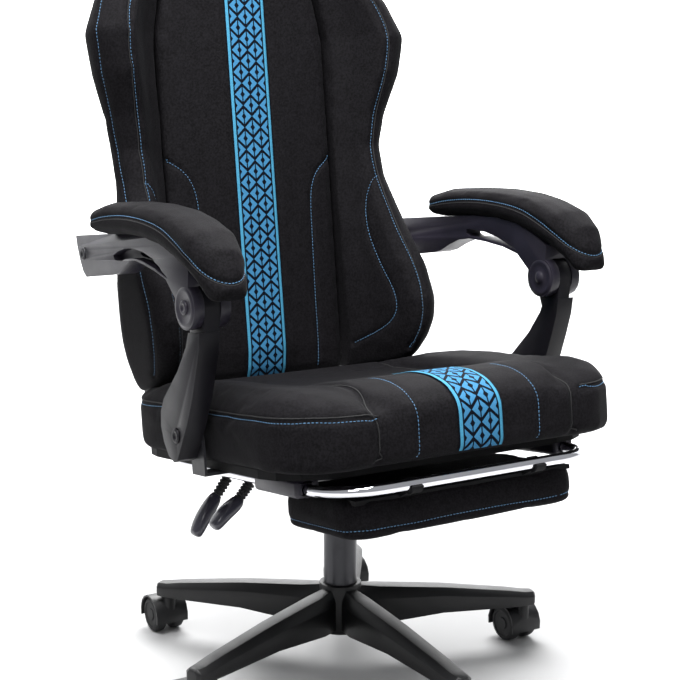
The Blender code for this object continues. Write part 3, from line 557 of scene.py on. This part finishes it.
def stitches(name, obj, lines, pitch=0.0052, length=0.0037, radius=0.00048, lift=0.0001):
    """Rows of short threads lying on the surface along lines in seat coordinates."""
    sides = 6
    verts, faces = [], []
    for line in lines:
        points, normals = on_surface(obj, line)
        lengths = run_of(points)
        for number in range(int(lengths[-1] / pitch)):
            ends = np.array([number * pitch, number * pitch + length])
            start, end = points_at(points, lengths, ends)
            normal = points_at(normals, lengths, ends.mean())
            normal /= np.linalg.norm(normal) + 1e-9
            along = end - start
            size = np.linalg.norm(along)
            if size < length * 0.5:
                continue
            along /= size
            side = np.cross(along, normal)
            faces += tube_faces(len(verts), len(THREAD_RINGS), sides)
            for share, swell, rise in THREAD_RINGS:
                centre = start + along * size * share + normal * (lift + radius * rise)
                verts += circle(centre, side, normal, radius * swell, sides)
    mesh = mesh_from(verts, faces, WORLD_AXES)
    new_piece(name, mesh, THREAD, obj["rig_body"])


def seam_cords(name, obj, lines, radius=0.0008):
    """The thin dark cord that closes each piped seam, half sunk in its channel."""
    sides, verts, faces = 6, [], []
    for line in lines:
        points, normals = on_surface(obj, line)
        points, normals = points[::3], normals[::3]
        ahead = np.gradient(points, axis=0)
        ahead /= np.linalg.norm(ahead, axis=1, keepdims=True) + 1e-9
        across = np.cross(ahead, normals)
        faces += tube_faces(len(verts), len(points), sides)
        for point, normal, side in zip(points, normals, across):
            verts += circle(point, side, normal, radius, sides)
    mesh = mesh_from(verts, faces, WORLD_AXES)
    new_piece(name, mesh, CORD, obj["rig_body"])


def ribbon(name, obj, profile, lift=0.0007, thickness=0.0006):
    """The woven band along a (y, z) profile in seat coordinates, laid on the surface."""
    centre = smooth_line([(0.0, y, z) for y, z in profile], 0.004)
    tree = tree_of(obj)
    shares = np.linspace(-1, 1, 19)
    rows = len(centre)
    points = []
    for point in centre:
        for share in shares:
            hit, normal = tree.find_nearest(SEAT @ Vector((share * RIBBON_HALF, point[1], point[2])))[:2]
            flat = TO_SEAT @ (hit + normal * lift)
            flat.x = share * RIBBON_HALF
            points.append(flat)
    across = len(shares)
    faces = [
        (r * across + c, r * across + c + 1, (r + 1) * across + c + 1, (r + 1) * across + c)
        for r in range(rows - 1)
        for c in range(across - 1)
    ]
    mesh = mesh_from(points, faces)
    middle = [points[r * across + across // 2] for r in range(rows)]
    run = np.concatenate([[0], np.cumsum([(b - a).length for a, b in zip(middle, middle[1:])])])
    layer = mesh.uv_layers.new(name="band")
    for loop in mesh.loops:
        row, column = divmod(loop.vertex_index, across)
        layer.data[loop.index].uv = (shares[column] * RIBBON_HALF, run[row])
    piece = new_piece(name, mesh, RIBBON, obj["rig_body"])
    normal = tree.find_nearest(mesh.vertices[len(points) // 2].co)[1]
    outward = mesh.polygons[len(mesh.polygons) // 2].normal.dot(normal) > 0
    solid = piece.modifiers.new("Thickness", "SOLIDIFY")
    solid.thickness = thickness
    solid.offset = 1.0 if outward else -1.0
    apply_modifiers(piece)
    piece.data.shade_smooth()


def value_at(table, height):
    places, values = zip(*table)
    return float(np.interp(height, places, values))


def build_seat():
    def limit(points):
        """Keeps the seat on its board, off the supports and under the wings, its front roll lowered."""
        points[:, 2] = np.maximum(points[:, 2], SEAT_FOOT)
        points[:, 0] = np.clip(points[:, 0], -SEAT_SIDE, SEAT_SIDE)
        rear = np.clip((points[:, 1] - 0.08) / 0.06, 0, 1) * np.clip((points[:, 2] - 0.03) / 0.03, 0, 1)
        points[:, 2] = np.minimum(points[:, 2] + 0.007 * rear, np.interp(points[:, 1], *SEAT_ROOF))
        points[:, 1] = np.minimum(points[:, 1], SEAT_REAR)
        ahead = np.clip((-0.08 - points[:, 1]) / 0.08, 0, 1)
        points[:, 2] -= 0.12 * np.maximum(points[:, 2] - 0.06, 0) * ahead
        return points

    seat = inflated("seat_cushion", voxel=0.006, smoothing=9, cap=0.0035, pressure=3.0,
                    limit=limit)
    crown = [(-0.352, 0.0), (-0.354, 0.045), (-0.348, 0.075), (-0.328, 0.094), (-0.29, 0.106)]
    crown += [(-0.255, 0.1085), (-0.2, 0.101), (-0.1, 0.082), (0.0, 0.076), (0.1, 0.076), (0.205, 0.073)]
    front = crown[:7]

    corners = ((0.175, -0.252, -90, 0.10), (0.145, 0.085, 0, 0.13))
    corners += ((-0.145, 0.085, 90, 0.13), (-0.175, -0.252, 180, 0.10))
    edge = corner_arcs(corners, SEAM_HEIGHT)
    edge = edge[np.abs(edge[:, 0]) > PIPING_X + 0.0005]
    cuts = np.where(np.linalg.norm(np.diff(edge, axis=0), axis=1) > 0.02)[0] + 1
    side_seams = [part for part in np.split(edge, cuts) if len(part) > 20]
    piping = [smooth_line([(side * PIPING_X, y, z) for y, z in crown]) for side, _ in SIDES]
    topstitch = [smooth_line([(side * TOPSTITCH_X, y, z) for y, z in front]) for side, _ in SIDES]
    bands = [smooth_line([(side * RIBBON_EDGE, y, z) for y, z in front]) for side, _ in SIDES]
    uprights = [smooth_line([(side * 0.252, -0.334, z) for z in (0.002, 0.03, 0.068)]) for side, _ in SIDES]
    press(seat, piping, width=0.006, depth=0.0045)
    press(seat, side_seams, width=0.005, depth=0.0025)
    press(seat, topstitch, width=0.005, depth=0.0016)
    press(seat, bands, width=0.004, depth=0.0008)
    press(seat, uprights, width=0.0025, depth=0.0012)
    seam_cords("seat_piping", seat, piping + [line + (0, 0, 0.0035) for line in side_seams])
    stitches("seat_stitching", seat, side_seams + topstitch)
    ribbon("seat_ribbon", seat, front)


def wing_point(side, height, share):
    """A point of the wing's inner face, from the seam with the panel (0) to the crest (1)."""
    seam, outer = value_at(PANEL_WIDTHS, height), value_at(BACK_WIDTHS, height)
    front = value_at(WING_FRONTS, height)
    crest = seam + 0.62 * (outer - seam)
    bow = 0.06 * math.sin(math.pi * share) * (PANEL_FRONT - front)
    y = PANEL_FRONT + share * (front - PANEL_FRONT) + bow
    return (side * (seam + share * (crest - seam)), y, height)


def build_back():
    def panel_limit(points):
        """Crowns the panel's front, and keeps it between the wings, the cover and the seat."""
        ahead = np.clip((0.235 - points[:, 1]) / 0.012, 0, 1)
        above = np.clip((points[:, 2] - 0.07) / 0.05, 0, 1)
        points[:, 1] -= 0.009 * (ahead * above) * np.clip(1 - (points[:, 0] / 0.15) ** 2, 0, 1)
        points[:, 1] = np.minimum(points[:, 1], PANEL_REAR)
        points[:, 2] = np.maximum(points[:, 2], PANEL_FOOT)
        low = points[:, 2] < 0.085
        points[low, 1] = np.maximum(points[low, 1], 0.2185)
        half = np.interp(points[:, 2], *zip(*PANEL_WIDTHS)) - 0.0010
        near_seam = np.clip(1 - (half - np.abs(points[:, 0])) / 0.02, 0, 1)
        points[:, 0] += np.sign(points[:, 0]) * 0.003 * near_seam
        points[:, 0] = np.clip(points[:, 0], -half, half)
        return points

    panel = inflated("back_cushion", voxel=0.005, smoothing=4, cap=0.004, pressure=3.0,
                     limit=panel_limit)
    curves, lower = [], [0.36, 0.30, 0.20, 0.08]
    for side, _ in SIDES:
        line = [(0.154, 0.427), (0.137, 0.420), (0.120, 0.410), (0.109, 0.396), (0.105, 0.378)]
        line += [(0.102 - 0.001 * k, z) for k, z in enumerate(lower)]
        curves.append(smooth_line([(side * x, 0.219, z) for x, z in line]))
    press(panel, curves, width=0.005, depth=0.0022)
    edges = [smooth_line([(side * RIBBON_EDGE, 0.216, z) for z in (0.08, 0.5, 0.88)]) for side, _ in SIDES]
    press(panel, edges, width=0.004, depth=0.0008)
    stitches("back_stitching", panel, curves)
    front = [(0.2200, 0.0745), (0.2165, 0.09), (0.2165, 0.3), (0.2165, 0.6), (0.2175, 0.881)]
    ribbon("back_ribbon", panel, front)

    for side, label in SIDES:
        def wing_limit(points, side=side):
            """Joins the wing to the panel, and keeps it off the armrest's pivot and the seat."""
            points[:, 1] = np.minimum(points[:, 1], WING_REAR)
            seam = np.interp(points[:, 2], *zip(*PANEL_WIDTHS)) + 0.0004
            inward = side * points[:, 0] - seam
            inward -= 0.004 * np.clip(1 - inward / 0.02, 0, 1)
            points[:, 0] = side * (seam + np.maximum(inward, 0))
            points[:, 0] = side * np.minimum(side * points[:, 0], WING_SIDE)
            near_ear = np.abs(points[:, 2] - LINK_REAR[1]) < 0.06
            narrowed = np.minimum(side * points[near_ear, 0], WING_SIDE_AT_EAR)
            points[near_ear, 0] = side * narrowed
            points[:, 2] -= 0.009 * np.clip((0.135 - points[:, 2]) / 0.05, 0, 1)
            points[:, 2] = np.maximum(points[:, 2], np.interp(points[:, 1], *SEAT_ROOF) + 0.0009)
            return points

        wing = inflated(f"back_wing_{label}", voxel=0.005, smoothing=9, cap=0.003, pressure=3.0,
                        limit=wing_limit)
        heights = (0.105, 0.125, 0.16, 0.19, 0.237, 0.30, 0.36, 0.40)
        heights += (0.44, 0.495, 0.56, 0.62, 0.68, 0.74, 0.80, 0.87)
        crest = smooth_line([wing_point(side, z, 0.97) for z in heights])
        outer = []
        for z in heights:
            out = value_at(BACK_WIDTHS, z)
            outer.append((side * (out - 0.001), value_at(WING_FRONTS, z) + 0.030, z))
        outer = smooth_line(outer)
        shares = ((0.392, 0.97), (0.380, 0.80), (0.360, 0.64), (0.33, 0.55), (0.29, 0.53), (0.25, 0.58))
        shares += ((0.21, 0.68), (0.175, 0.74), (0.15, 0.66), (0.13, 0.42), (0.115, 0.15))
        inner = smooth_line([wing_point(side, z, share) for z, share in shares])
        press(wing, [crest], width=0.006, depth=0.0030)
        press(wing, [outer, inner], width=0.005, depth=0.0020)
        seam_cords(f"wing_piping_{label}", wing, [crest + (side * 0.003, 0, 0)], 0.0007)
        stitches(f"wing_stitching_{label}", wing, [crest, outer, inner])


def build_arm_pads():
    middle = [(0.104, 0.336), (0.08, 0.3385), (0.044, 0.3395), (-0.005, 0.3385), (-0.055, 0.333)]
    middle += [(-0.10, 0.3245), (-0.14, 0.313), (-0.175, 0.295)]
    for side, label in SIDES:
        def pad_limit(points, side=side):
            points[:, 0] = side * np.clip(side * points[:, 0], PAD_INSIDE, PAD_OUTSIDE)
            return points

        pad = inflated(f"arm_pad_{label}", voxel=0.004, smoothing=4, cap=0.0020, pressure=3.5,
                       limit=pad_limit)
        outward = [(side * 0.3350, y, z) for y, z in middle]
        inward = [(side * 0.2550, y, z) for y, z in reversed(middle)]
        nose = []
        for angle in range(12, 169, 12):
            across, ahead = math.cos(math.radians(angle)), math.sin(math.radians(angle))
            nose.append((side * (0.295 + 0.039 * across), -0.191 - 0.066 * ahead, 0.289 - 0.053 * ahead))
        tail = [(side * x, 0.112, 0.3355) for x in (0.270, 0.295, 0.320)]
        seam = smooth_line(outward + nose + inward + tail, closed=True)
        press(pad, [seam], width=0.0045, depth=0.0022)
        seam_cords(f"arm_pad_piping_{label}", pad, [seam - (0, 0, 0.0035)], 0.0006)
        stitches(f"arm_pad_stitching_{label}", pad, [seam], 0.0048, 0.0035, 0.0005)


def build_footrest_pad():
    def limit(points):
        """Fills the pad's upper edge out, up to its board."""
        high = points[:, 2] > -0.056
        points[high, 2] += (points[high, 2] + 0.056) * 0.9
        points[:, 2] = np.minimum(points[:, 2], FOOTREST_TOP)
        return points

    pad = inflated("footrest_pad", voxel=0.005, smoothing=4, cap=0.0022, pressure=3.0,
                   limit=limit)
    corners = ((0.155, -0.283, -90, 0.036), (0.155, -0.170, 0, 0.036))
    corners += ((-0.155, -0.170, 90, 0.036), (-0.155, -0.283, 180, 0.036))
    seam = corner_arcs(corners, FOOTREST_SEAM)
    press(pad, [seam], width=0.004, depth=0.0018)
    stitches("footrest_stitching", pad, [seam])


# ---- moulded and metal pieces ----
def refined(node, material, bevel, cutters=(), angle=30, segments=2):
    """The CAD piece with its edges rounded and its recesses cut."""
    body = frame["nodes"][node]["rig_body"]
    mesh = frame["nodes"][node].data.copy()
    bm = bmesh.new()
    bm.from_mesh(mesh)
    bmesh.ops.remove_doubles(bm, verts=bm.verts, dist=1e-6)
    bmesh.ops.dissolve_limit(bm, angle_limit=math.radians(1), verts=bm.verts, edges=bm.edges)
    bm.to_mesh(mesh)
    bm.free()
    obj = linked(f"{node}_moulding", mesh)
    tools = []
    for k, shape in enumerate(cutters):
        tool = linked(f"{node}_tool_{k}", shape)
        cut = obj.modifiers.new(f"Cut {k}", "BOOLEAN")
        cut.operation = "DIFFERENCE"
        cut.object = tool
        tools.append(tool)
    round_off = obj.modifiers.new("Round", "BEVEL")
    round_off.width = bevel
    round_off.segments = segments
    round_off.limit_method = "ANGLE"
    round_off.angle_limit = math.radians(angle)
    bpy.context.view_layer.update()
    apply_modifiers(obj)
    for tool in tools:
        bpy.data.objects.remove(tool, do_unlink=True)
    dress(obj, material, body, sharp=50)
    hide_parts(node)


def slab(outline, first, last):
    """A closed flat shape of a (y, z) outline between two x planes, in seat coordinates."""
    return loft([[(x, y, z) for y, z in outline] for x in (first, last)])


# Outlines of the link's recess and of the opening in it: y, height in seat coordinates.
RECESS = [
    (0.082, 0.2850), (0.060, 0.2905), (0.033, 0.2935), (0.0, 0.2925), (-0.035, 0.2865),
    (-0.065, 0.2770), (-0.095, 0.2630), (-0.118, 0.2500), (-0.112, 0.2515), (-0.078, 0.2635),
    (-0.0326, 0.2735), (0.006, 0.2792), (0.034, 0.2790), (0.058, 0.2765), (0.078, 0.2780),
]
OPENING = [
    (0.012, 0.2915), (0.0, 0.2912), (-0.035, 0.2852), (-0.065, 0.2757), (-0.095, 0.2620),
    (-0.112, 0.2535), (-0.078, 0.2648), (-0.0326, 0.2748), (0.006, 0.2806), (0.014, 0.2850),
]
# Profiles of the discs on the armrests' pivots: radius, height above the face they sit on.
KNUCKLE_RIM = [
    (0.0, 0.0009), (0.0195, 0.0009), (0.0210, 0.0016), (0.0245, 0.0016), (0.0262, 0.0002),
    (0.0262, -0.0004),
]
KNUCKLE_BOSS = [
    (0.0, 0.0052), (0.0035, 0.0049), (0.0068, 0.0037), (0.0088, 0.0018), (0.0100, 0.0010),
    (0.0190, 0.0006), (0.0215, 0.0014), (0.0245, 0.0014), (0.0260, 0.0002), (0.0260, -0.0004),
]
KNUCKLE_CAP = [
    (0.0, 0.0018), (0.0035, 0.0018), (0.0042, 0.0030), (0.0080, 0.0034), (0.0095, 0.0022),
    (0.0098, 0.0004),
]
FOOT_CAP = [
    (0.0, 0.0012), (0.004, 0.0012), (0.0048, 0.0024), (0.0085, 0.0030), (0.0100, 0.0016),
    (0.0102, 0.0003),
]
REAR_CAP = [
    (0.0, 0.0020), (0.0040, 0.0020), (0.0046, 0.0034), (0.0080, 0.0034), (0.0092, 0.0018),
    (0.0092, 0.0004),
]
# x of the faces that they sit on.
KNUCKLE_OUTSIDE, KNUCKLE_INSIDE, FOOT_OUTSIDE, REAR_OUTSIDE = 0.318, 0.266, 0.310, 0.3018


def disc(name, profile, x, pivot, outward, material, body, sharp=None):
    """A turned disc on one of the armrests' pivots, facing along x by the sign of outward."""
    mesh = turned(profile + [(0.0, profile[-1][1])], (x, *pivot), (outward, 0, 0))
    return new_piece(name, mesh, material, body, sharp)


def build_arms():
    for side, label in SIDES:
        link, support = f"arm_link_{label}", f"arm_support_{label}"
        pockets = [slab(RECESS, side * 0.2950, side * 0.3250), slab(OPENING, side * 0.2600, side * 0.3100)]
        refined(link, ARM_PLASTIC, 0.0022, pockets)
        # The support gets the darker copy of the arm plastic, which paints shade on it.
        refined(support, SHADED_ARM_PLASTIC, 0.0030)
        outside, inside = side * KNUCKLE_OUTSIDE, side * KNUCKLE_INSIDE
        disc(f"knuckle_rim_{label}", KNUCKLE_RIM, outside, KNUCKLE, side, ARM_PLASTIC, link, sharp=50)
        disc(f"knuckle_boss_{label}", KNUCKLE_BOSS, inside, KNUCKLE, -side, ARM_PLASTIC, link, sharp=50)
        cap = disc(f"knuckle_cap_{label}", KNUCKLE_CAP, outside, KNUCKLE, side, ARM_PLASTIC, support)
        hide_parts(f"knuckle_pin_{label}")
        outside = side * FOOT_OUTSIDE
        # The foot cap gets the same darker copy of the arm plastic, painted shade.
        cap = disc(f"foot_cap_{label}", FOOT_CAP, outside, SUPPORT_FOOT, side, SHADED_ARM_PLASTIC, support)
        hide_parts(f"support_pivot_bolt_{label}")
        outside = side * REAR_OUTSIDE
        cap = disc(f"rear_cap_{label}", REAR_CAP, outside, LINK_REAR, side, STEEL, link)
        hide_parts(f"link_pivot_bolt_{label}")


# The levers: y of their plane, then x and height of the sleeve's top, the sleeve's foot and the tip.
LEVERS = (
    ("height_lever", 0.05, (-0.168, -0.050), (-0.194, -0.081), (-0.227, -0.127)),
    ("recline_lever", -0.02, (-0.168, -0.050), (-0.193, -0.076), (-0.231, -0.105)),
)
# The grip's sections: share of its length, half width, half thickness.
PADDLE = (
    (-0.22, 0.0070, 0.0066), (-0.1, 0.0096, 0.0092), (0.10, 0.0116, 0.0106), (0.4, 0.0132, 0.0104),
    (0.65, 0.0138, 0.0096), (0.85, 0.0132, 0.0084), (0.95, 0.0116, 0.0072), (0.99, 0.0085, 0.005),
    (1.0, 0.004, 0.0024),
)


def ribbed_profile(length, ribs=7, groove=0.0018):
    """The sleeve's (radius, height) profile: ribs that grow towards its top."""
    pitch = length / ribs
    profile = [(0.0, 0.0)]
    for k in range(ribs):
        start = length * k / ribs
        crest = 0.0076 + 0.0009 * k / ribs
        profile += [(crest - groove, start), (crest - 0.0016, start + 0.30 * pitch)]
        profile += [(crest, start + 0.42 * pitch), (crest, start + 0.86 * pitch)]
        profile.append((crest - groove, start + 0.96 * pitch))
    return profile + [(0.0, length)]


def paddle_section(centre, side, across, corners=24, roundness=0.75):
    """A rounded rectangle about centre: side and across reach to its edges."""
    ring = []
    for k in range(corners):
        turn = 2 * math.pi * k / corners
        c, s = math.cos(turn), math.sin(turn)
        wide, deep = math.copysign(abs(c) ** roundness, c), math.copysign(abs(s) ** roundness, s)
        ring.append(centre + side * wide + across * deep)
    return ring


def build_levers():
    for name, y, top, low, tip in LEVERS:
        top, low, tip = (Vector((p[0], y, p[1])) for p in (top, low, tip))
        mesh = turned(ribbed_profile((top - low).length), low, top - low, 32)
        sleeve = new_piece(f"{name}_bellows", mesh, TYRE, name, sharp=55)
        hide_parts(f"{name}_sleeve")
        lean = (tip - low).normalized()
        across = Vector((lean.z, 0, -lean.x))
        side = Vector((0, 1, 0))
        rings = []
        for share, half_width, half_depth in PADDLE:
            dip = across * 0.0022 * math.sin(math.pi * max(share, 0))
            centre = low + (tip - low) * share + dip
            rings.append(paddle_section(centre, side * half_width, across * half_depth))
        grip = new_piece(f"{name}_paddle", loft(rings), GRIP_PLASTIC, name)
        grip.modifiers.new("Finer", "SUBSURF").levels = 1
        apply_modifiers(grip)
        grip.data.shade_smooth()
        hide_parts(f"{name}_grip")


def build_footrest_frame():
    leg_x, leg_z, bar_y, leg_rear = 0.211, -0.027, -0.333, 0.10
    outline = ((-leg_x, leg_rear), (-leg_x, bar_y), (leg_x, bar_y), (leg_x, leg_rear))
    corners = [(x, y, leg_z) for x, y in outline]
    mesh = pipe(rounded_path(corners, 0.07, 20), 0.0075, 28)
    tube = new_piece("footrest_tube", mesh, CHROME, "footrest_frame", sharp=50)
    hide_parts("footrest_frame")
    for _, label in SIDES:
        refined(f"footrest_rail_{label}", ARM_PLASTIC, 0.0060, segments=4)


def build_back_cover():
    refined("back_cover", NYLON, 0.0010, angle=55)


def wheel_profile(half):
    """A caster wheel's (radius, height) profile from its inner side, -half, to its dished outer side."""
    inner = [(0.0048, -half), (0.0220, -half), (0.0255, -half + 0.001), (0.0272, -half + 0.003)]
    tread = [(WHEEL_RADIUS, -half + 0.005), (WHEEL_RADIUS, half - 0.006), (0.0266, half - 0.0028)]
    outer = [(0.0245, half - 0.0008), (0.0205, half), (0.0195, half - 0.0016)]
    hub = [(0.0100, half - 0.0022), (0.0090, half - 0.0004), (0.0048, half - 0.0004)]
    return inner + tread + outer + hub


def build_base():
    refined("star_base", NYLON, 0.0025, angle=28)
    low, high = 0.055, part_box("gas_column")[1].z
    profile = [(0.0148, high), (0.0235, high), (0.0250, high - 0.0015), (0.0250, low), (0.0148, low)]
    mesh = turned(profile + [(0.0148, low + 0.001)], (0, 0, 0), (0, 0, 1), 64, WORLD)
    tube = new_piece("column_tube", mesh, COLUMN_PAINT, "base", sharp=40)
    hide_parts("gas_column")
    for k in range(1, 6):
        refined(f"caster_{k}_hood", NYLON, 0.0010, angle=35)
        for side, label in SIDES:
            node = f"caster_{k}_wheel_{label}"
            lowest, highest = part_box(node)
            centre = (lowest + highest) / 2
            profile = wheel_profile((highest.x - lowest.x) / 2)
            mesh = turned(profile, centre, (side, 0, 0), place=WORLD_AXES)
            body = f"caster_{k}_wheels"
            wheel = new_piece(f"caster_{k}_tyre_{label}", mesh, TYRE, body, sharp=50)
            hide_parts(node)


def finish_cad_nodes():
    """The CAD pieces that stay as they are, each with its material."""
    looks = {
        "plywood": BOARD,
        "black_steel": STEEL,
        "zinc_steel": ZINC,
        "black_nylon": NYLON,
        "black_rubber": TYRE,
        "chrome_steel": CHROME,
        "arm_plastic": ARM_PLASTIC,
        "grip_plastic": GRIP_PLASTIC,
        "black_fabric": FABRIC,
    }
    slots = {entry["node"]: entry["material_slot"] for entry in frame["record"]["subparts"]}
    for name, obj in frame["nodes"].items():
        obj.data.materials.clear()
        obj.data.materials.append(looks[slots[name]])


# ---- stage ----
VIEW_TURN, VIEW_DROP = math.radians(-32), math.radians(9.7)  # the camera's turn and its tilt down


def build_stage():
    bpy.ops.mesh.primitive_plane_add(size=40)
    floor = bpy.context.object
    floor.name = "floor"
    n = Nodes("studio_floor")
    n.put(Base_Color=(0.42, 0.42, 0.422), Roughness=0.95)
    floor.data.materials.append(n.material)

    world = bpy.data.worlds.new("studio")
    bpy.context.scene.world = world
    world.use_nodes = True
    background = world.node_tree.nodes["Background"]
    background.inputs["Color"].default_value = (0.95, 0.97, 1.0, 1.0)
    background.inputs["Strength"].default_value = 0.36

    bpy.ops.mesh.primitive_plane_add(size=1)
    backdrop = bpy.context.object
    backdrop.name = "backdrop"
    backdrop.scale = (16, 9, 1)
    backdrop.rotation_euler = (math.radians(90), 0, VIEW_TURN)
    backdrop.location = (2.4, 3.8, 4.5)
    n = Nodes("lit_backdrop")
    n.put(Base_Color=(0.8, 0.8, 0.8), Roughness=0.95)
    n.put(Emission_Color=(0.98, 0.99, 1.0), Emission_Strength=1.0)
    backdrop.data.materials.append(n.material)

    def area(name, place, aim, size, power):
        light = bpy.data.lights.new(name, "AREA")
        light.shape = "RECTANGLE"
        light.size, light.size_y = size
        light.energy = power
        obj = linked(name, light)
        obj.location = place
        obj.rotation_euler = (Vector(aim) - Vector(place)).to_track_quat("-Z", "Y").to_euler()

    area("key", (-1.9, -2.2, 2.6), (0, 0, 0.6), (1.0, 1.0), 20)
    area("top", (-0.5, -0.7, 2.8), (0, 0, 0.5), (1.6, 1.6), 195)
    area("rear", (1.3, 2.3, 3.0), (1.1, 1.9, 0), (3.0, 2.4), 370)

    camera = bpy.data.cameras.new("camera")
    camera.lens, camera.sensor_width = 74.9, 36
    obj = linked("camera", camera)
    obj.location = (-1.094, -1.750 + COLUMN.y, 0.85)
    obj.rotation_euler = (math.radians(90) - VIEW_DROP, 0, VIEW_TURN)
    bpy.context.scene.camera = obj
    bpy.context.scene.view_settings.view_transform = "Standard"


finish_cad_nodes()
build_seat()
build_back()
build_arm_pads()
build_footrest_pad()
build_arms()
build_levers()
build_footrest_frame()
build_back_cover()
build_base()
build_stage()
